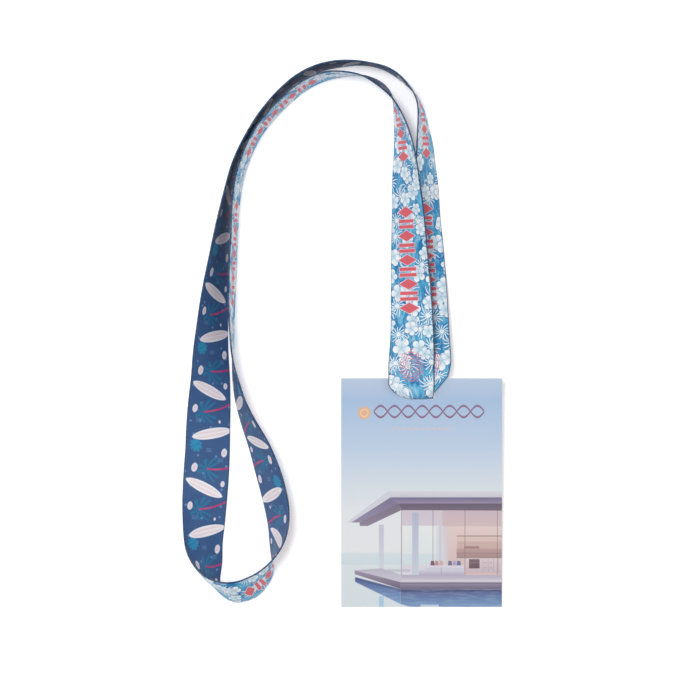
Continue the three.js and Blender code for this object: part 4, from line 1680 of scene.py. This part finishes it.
@dataclass
class Ribbon:
    """The printed ribbon, one closed band from its front end round the loop to its sewn end."""

    course: Course
    origin: np.ndarray
    across_steps: int = 24
    edge_steps: int = 4
    flat_length: float = 889.0
    first_border_y: float = 8.4
    last_border_y: float = 10.0
    front_rosette_y: float = -14.0
    back_rosette_y: float = -12.0
    board_y: float = -66.6

    def profile(self) -> tuple[np.ndarray, np.ndarray]:
        """The section: two faces joined by half-round edges.

        Returns:
            For each point, its share across from -1 to 1 and its share through from -1 to 1.
        """
        face = np.linspace(-1, 1, self.across_steps + 1)
        angle = np.linspace(-np.pi / 2, np.pi / 2, self.edge_steps + 2)[1:-1]
        edge = self.course.thickness / self.course.width
        inner = 1 - edge
        rounding = edge * np.cos(angle)
        across = np.concatenate([face * inner, inner + rounding, -face * inner, -inner - rounding])
        through = np.concatenate([-np.ones_like(face), np.sin(angle), np.ones_like(face), -np.sin(angle)])
        return across, through

    def build(self) -> bpy.types.Object:
        """The band's mesh.

        Each point is the middle, plus its share across times the half-width vector, plus the outer normal
        times its share through and the bow, which falls off as one less the fourth power of the share across.

        Returns:
            The ribbon.
        """
        line = self.course.followed()
        across, through = self.profile()
        along = np.gradient(line["middle"], axis=0)
        outward = np.cross(line["half"], along)
        outward /= np.linalg.norm(outward, axis=1, keepdims=True)
        bulge = line["bow"][:, None] * (1 - across**4)[None, :]
        thick = -through[None, :] * self.course.thickness / 2 + bulge
        points = (
            line["middle"][:, None]
            + line["half"][:, None] * across[None, :, None]
            + outward[:, None] * thick[:, :, None]
        )
        around = len(across)
        rings = len(points)
        faces = np.vstack(
            [
                ring_faces(rings, around),
                cap_faces(0, around, True),
                cap_faces((rings - 1) * around, around, False),
            ]
        )
        ribbon = write_mesh("ribbon", points.reshape(-1, 3) + self.origin, faces)
        printed = np.zeros((rings, around, 3))
        printed[..., 0] = line["gone"][:, None]
        printed[..., 1] = (across[None, :] + 1) * self.course.width / 2
        store = ribbon.data.attributes.new("print_place", "FLOAT_VECTOR", "POINT")
        store.data.foreach_set("vector", printed.astype(np.float32).ravel())
        right_way_out(ribbon)
        self.dress(ribbon, line, around, rings)
        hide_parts("strap")
        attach(ribbon, "ribbon")
        return ribbon

    def run_at(self, line: dict[str, np.ndarray], y: float, right: bool, late: bool) -> float:
        """The length run where the ribbon's middle crosses a height of the drawing, on one of its straps.

        Args:
            line: The ribbon at even steps.
            y: The height.
            right: Whether the strap is right of the middle.
            late: Whether it is in the second half of the run.

        Returns:
            The length run.
        """
        middle = line["middle"]
        near = np.abs(middle[:, 1] - y) + 1000 * ((middle[:, 0] > 0) != right)
        half_way = line["gone"][-1] / 2
        near += 1000 * ((line["gone"] > half_way) != late)
        return float(line["gone"][np.argmin(near)])

    def dress(self, ribbon: bpy.types.Object, line: dict[str, np.ndarray], around: int, rings: int) -> None:
        """Gives the outer face and the edges the flower print, and the inner face the beach print.

        Args:
            ribbon: The band.
            line: The ribbon at even steps.
            around: Points to a section.
            rings: How many sections.
        """
        border = self.run_at(line, self.first_border_y, True, False)
        front = self.run_at(line, self.front_rosette_y, True, False)
        back = self.run_at(line, self.back_rosette_y, True, True)
        last = self.run_at(line, self.last_border_y, True, True)
        flowers = FlowerPrint(first_border=border, last_border=last, rosettes=(front, back))
        beach = BeachPrint(board_at=self.run_at(line, self.board_y, False, True))
        ribbon.data.materials.append(flowers.make())
        ribbon.data.materials.append(beach.make())
        side = np.zeros((rings - 1, around), np.int32)
        start = self.across_steps + 1 + self.edge_steps
        side[:, start : start + self.across_steps] = 1
        index = np.zeros(len(ribbon.data.polygons), np.int32)
        index[: side.size] = side.ravel()
        ribbon.data.polygons.foreach_set("material_index", index)


@dataclass(frozen=True)
class RoundedBox:
    """A rectangle with rounded corners."""

    low: tuple[float, float]
    high: tuple[float, float]
    radius: float

    def outline(self, inset: float = 0.0, steps: int = 8) -> np.ndarray:
        """Its corner points, anticlockwise from the lower left, drawn in by an inset.

        Args:
            inset: How far it is drawn in.
            steps: Steps to a corner.

        Returns:
            The points.
        """
        low, high = np.array(self.low) + inset, np.array(self.high) - inset
        radius = max(self.radius - inset, 0.05)
        turned = np.linspace(0, np.pi / 2, steps + 1)
        arcs = []
        for i, (x, y) in enumerate(
            ((low[0], low[1]), (high[0], low[1]), (high[0], high[1]), (low[0], high[1]))
        ):
            angle = turned + np.pi + i * np.pi / 2
            inward = np.array([(1, 1), (-1, 1), (-1, -1), (1, -1)][i]) * radius
            arcs.append(
                np.array([x, y]) + inward + radius * np.column_stack([np.cos(angle), np.sin(angle)])
            )
        return np.vstack(arcs)


def seen_at(outline: np.ndarray, angles: np.ndarray) -> np.ndarray:
    """Where rays from the origin meet a closed outline: the crossing of each ray with the side in its way.

    Args:
        outline: Its points, anticlockwise.
        angles: The rays, in radians.

    Returns:
        One point to a ray.
    """
    own = np.arctan2(outline[:, 1], outline[:, 0])
    order = np.argsort(own)
    own, outline = own[order], outline[order]
    after = np.searchsorted(own, angles, side="right") % len(own)
    start, end = outline[after - 1], outline[after]
    way = np.column_stack([np.cos(angles), np.sin(angles)])
    side = end - start
    share = -(way[:, 0] * start[:, 1] - way[:, 1] * start[:, 0])
    share /= way[:, 0] * side[:, 1] - way[:, 1] * side[:, 0]
    return start + side * share[:, None]


@dataclass
class Card:
    """The printed card: a thin plate with a slot and eased arrises."""

    course: Course
    origin: np.ndarray
    slot_off_centre: float = 1.0
    width: float = 70.0
    corner: float = 0.4
    slot_height: float = 3.2
    slot_side: float = 0.6
    arris: float = 0.1

    def build(self) -> bpy.types.Object:
        """The card's mesh.

        Rays from the slot's centre meet the slot's outline and the card's outline, so both have the same
        number of points. Rings at the two faces and the two arrises join into one closed band, which is then
        turned by the card's slope.

        Returns:
            The card.
        """
        course = self.course
        foot = course.card_length - course.slot_from_head
        left = self.slot_off_centre - self.width / 2
        half_slot = course.neck_width / 2 + self.slot_side
        plate = RoundedBox((left, -foot), (left + self.width, course.slot_from_head), self.corner)
        half_height = self.slot_height / 2
        slot = RoundedBox((-half_slot, -half_height), (half_slot, half_height), self.slot_height * 0.3)
        corners = np.vstack([plate.outline(), slot.outline(), slot.outline(-self.arris)])
        angles = np.unique(np.round(np.arctan2(corners[:, 1], corners[:, 0]), 9))
        half = course.card_thickness / 2
        rings = []
        for face, inset in ((half, 1), (half - self.arris, 0), (self.arris - half, 0), (-half, 1)):
            rings.append((seen_at(plate.outline(inset * self.arris), angles), face))
        for face, inset in ((-half, 1), (self.arris - half, 0), (half - self.arris, 0), (half, 1)):
            rings.append((seen_at(slot.outline(-inset * self.arris), angles), face))
        rings.append(rings[0])
        flat = np.vstack([np.column_stack([ring, np.full(len(ring), face)]) for ring, face in rings[:-1]])
        around = len(angles)
        faces = ring_faces(len(rings), around) % len(flat)
        slope = course.tilt
        points = np.column_stack(
            [
                flat[:, 0] + course.neck_x,
                flat[:, 1] * math.cos(slope) - flat[:, 2] * math.sin(slope) + course.slot_y,
                flat[:, 1] * math.sin(slope) + flat[:, 2] * math.cos(slope) + course.slot_rise,
            ]
        )
        card = write_mesh("printed_card", points + self.origin, faces, False)
        placed = np.column_stack([flat[:, 0] - left, flat[:, 1] + foot, flat[:, 2]])
        store = card.data.attributes.new("card_place", "FLOAT_VECTOR", "POINT")
        store.data.foreach_set("vector", placed.astype(np.float32).ravel())
        right_way_out(card)
        for material in (CardPrint().make(), Finish.CARD_BACK.material(), Finish.CARD_EDGE.material()):
            card.data.materials.append(material)
        side = np.full((len(rings) - 1, around), 2, np.int32)
        side[3] = 1
        side[-1] = 0
        card.data.polygons.foreach_set("material_index", side.ravel())
        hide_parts("card")
        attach(card, "card")
        return card


def refined(name: str, node: str, bevel: float, segments: int, limit: float) -> bpy.types.Object:
    """A finished copy of a frame solid: merged, flats joined, arrises rounded and shaded smooth.

    Args:
        name: The new piece's name.
        node: The frame solid that it stands for.
        bevel: How far the arrises are rounded, in millimetres.
        segments: Steps in the rounding.
        limit: Corners sharper than this many degrees are rounded.

    Returns:
        The piece, which replaces the frame solid.
    """
    mesh = frame["nodes"][node].data.copy()
    mesh.name = name
    mesh.materials.clear()
    work = bmesh.new()
    work.from_mesh(mesh)
    bmesh.ops.remove_doubles(work, verts=work.verts, dist=1e-7)
    bmesh.ops.dissolve_limit(work, angle_limit=math.radians(0.6), verts=work.verts, edges=work.edges)
    for face in work.faces:
        face.smooth = True
    work.to_mesh(mesh)
    work.free()
    piece = bpy.data.objects.new(name, mesh)
    bpy.context.scene.collection.objects.link(piece)
    rounding = piece.modifiers.new("arrises", "BEVEL")
    rounding.width = bevel * MM
    rounding.segments = segments
    rounding.limit_method = "ANGLE"
    rounding.angle_limit = math.radians(limit)
    flats = piece.modifiers.new("flats", "WEIGHTED_NORMAL")
    flats.weight = 90
    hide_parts(node)
    return piece


@dataclass
class Hardware:
    """The swivel eye, its post and washer, and the snap hook with its gate, pin and spring."""

    spring_turns: float = 2.5
    spring_radius: float = 0.85
    spring_wire: float = 0.11
    pocket: float = 0.9

    def metal(
        self, name: str, node: str, body: str, bevel: float, finish: Finish
    ) -> bpy.types.Object:
        """One metal piece from its frame solid.

        Args:
            name: The name to give it.
            node: The frame solid that it stands for.
            body: The body it rides.
            bevel: How far its arrises are rounded.
            finish: Its finish.

        Returns:
            The piece.
        """
        piece = refined(name, node, bevel, 3, 32.0)
        piece.data.materials.append(finish.material())
        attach(piece, body)
        return piece

    def spring(self) -> bpy.types.Object:
        """The gate's coil: a helix whose height rises evenly with its turn, round the pin.

        Returns:
            The coil.
        """
        low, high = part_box("gate_pin")
        centre = (np.array(low) + np.array(high)) / 2 / MM
        turned = np.linspace(0, 2 * np.pi * self.spring_turns, 100)
        height = self.pocket - 2 * self.spring_wire - 0.06
        path = np.column_stack(
            [
                centre[0] + self.spring_radius * np.cos(turned),
                centre[1] - self.spring_radius * np.sin(turned),
                centre[2] - height / 2 + height * turned / turned[-1],
            ]
        )
        coil = tube("return_spring", path, self.spring_wire, 10)
        coil.data.materials.append(Finish.STEEL.material())
        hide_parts("gate_spring")
        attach(coil, "gate")
        return coil

    def build(self) -> list[bpy.types.Object]:
        """All the metal pieces.

        Returns:
            The pieces.
        """
        nickel, steel = Finish.NICKEL, Finish.STEEL
        return [
            self.metal("eye", "swivel_eye", "eye", 0.12, nickel),
            self.metal("post", "swivel_post", "hook", 0.15, nickel),
            self.metal("washer", "swivel_washer", "hook", 0.08, steel),
            self.metal("hook", "hook_body", "hook", 0.28, nickel),
            self.metal("hook_gate", "gate", "gate", 0.2, nickel),
            self.metal("pin", "gate_pin", "hook", 0.08, steel),
            self.spring(),
        ]


@dataclass
class Stitching:
    """The two zigzags of the bartack that closes the ribbon's end."""

    stitches: int = 9
    radius: float = 0.16

    def zigzag(self, name: str, node: str) -> bpy.types.Object:
        """One zigzag: its path swings between the node's two long sides as a rounded triangle wave.

        Args:
            name: The name to give it.
            node: The frame solid that it stands for.

        Returns:
            The thread.
        """
        low, high = (np.array(corner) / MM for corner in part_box(node))
        share = np.linspace(0, 1, self.stitches * 16 + 1)
        swing = 2 / np.pi * np.arcsin(0.985 * np.sin(np.pi * (share * self.stitches - 0.5)))
        inset = self.radius
        half_y = (high[1] - low[1]) / 2 - inset
        middle = (low + high) / 2
        path = np.column_stack(
            [
                low[0] + inset + (high[0] - low[0] - 2 * inset) * share,
                middle[1] + half_y * swing,
                np.full_like(share, middle[2]),
            ]
        )
        thread = tube(name, path, self.radius, 8)
        thread.data.materials.append(Finish.THREAD.material())
        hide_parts(node)
        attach(thread, "ribbon")
        return thread

    def build(self) -> list[bpy.types.Object]:
        """Both zigzags.

        Returns:
            The threads.
        """
        return [
            self.zigzag("stitches_upper", "bartack_upper"), self.zigzag("stitches_under", "bartack_under"),
        ]


# ---------------------------------------------------------------- studio


@dataclass
class Studio:
    """A plain white table, soft overhead light and a camera straight above."""

    view_centre: tuple[float, float] = (3.41, -7.09)
    view_width: float = 304.3
    camera_height: float = 5000.0
    sensor: float = 36.0
    table: float = 4000.0

    def camera(self) -> bpy.types.Object:
        """The camera: its lens is the sensor's width times the height over the width seen.

        Returns:
            The scene's camera.
        """
        data = bpy.data.cameras.new("camera")
        data.sensor_width = self.sensor
        data.lens = self.sensor * self.camera_height / self.view_width
        data.clip_end = 100.0
        camera = bpy.data.objects.new("camera", data)
        camera.location = (self.view_centre[0] * MM, self.view_centre[1] * MM, self.camera_height * MM)
        bpy.context.scene.collection.objects.link(camera)
        bpy.context.scene.camera = camera
        return camera

    def floor(self) -> bpy.types.Object:
        """The table's top.

        Returns:
            The floor.
        """
        half = self.table / 2
        corners = np.array([(-half, -half, 0), (half, -half, 0), (half, half, 0), (-half, half, 0)], float)
        floor = write_mesh("table_top", corners, np.array([[0, 1, 2, 3]]), False)
        shop = Shop("white_table")
        shop.set(Base_Color=(0.93, 0.93, 0.93, 1.0), Roughness=0.9, Specular_IOR_Level=0.1)
        shop.set(Emission_Color=(1.0, 1.0, 1.0, 1.0), Emission_Strength=0.28)
        floor.data.materials.append(shop.material)
        return floor

    def lamp(self, name: str, energy: float, spread: float, turned: tuple[float, float]) -> None:
        """A sun, turned about X and then about Y by some degrees from straight down.

        Args:
            name: The name to give it.
            energy: Its strength.
            spread: Its width in degrees.
            turned: The two turns.
        """
        sun = bpy.data.lights.new(name, "SUN")
        sun.energy = energy
        sun.angle = math.radians(spread)
        lamp = bpy.data.objects.new(name, sun)
        lamp.rotation_euler = (math.radians(turned[0]), math.radians(turned[1]), 0)
        bpy.context.scene.collection.objects.link(lamp)

    def light(self) -> None:
        """A key light a little to the upper left, wide low fills from both sides, and an even sky."""
        self.lamp("key", 1.95, 14, (-7, -9))
        self.lamp("fill", 0.5, 50, (6, 46))
        self.lamp("side", 0.42, 60, (6, -58))
        world = bpy.data.worlds.new("sky")
        world.use_nodes = True
        background = world.node_tree.nodes["Background"]
        background.inputs["Color"].default_value = (1.0, 1.0, 1.0, 1.0)
        background.inputs["Strength"].default_value = 0.2
        bpy.context.scene.world = world
        bpy.context.scene.view_settings.view_transform = "Standard"

    def build(self) -> None:
        """The whole set."""
        self.camera()
        self.floor()
        self.light()


def drawing_origin(course: Course) -> np.ndarray:
    """Where the drawing frame's origin is in the row frame, in millimetres, by the joint at the eye's bar."""
    joint = next(found for found in frame["joints"] if found["name"] == "eye_swing")
    return np.array(joint["pos_m"]) / MM - np.array([course.neck_x, course.bar_y, course.bar_rise])


def main() -> None:
    """Builds the lanyard and its set."""
    logging.basicConfig(level=logging.INFO, format="%(message)s")
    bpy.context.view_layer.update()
    course = Course()
    origin = drawing_origin(course)
    Studio().build()
    ribbon = Ribbon(course, origin).build()
    log.info("%s: %d faces", ribbon.name, len(ribbon.data.polygons))
    makers: list[Callable[[], object]] = [
        Card(course, origin).build,
        Hardware().build,
        Stitching().build,
    ]
    for maker in makers:
        made = maker()
        for piece in made if isinstance(made, list) else [made]:
            log.info("%s: %d faces", piece.name, len(piece.data.polygons))


if __name__ == "__main__":
    main()
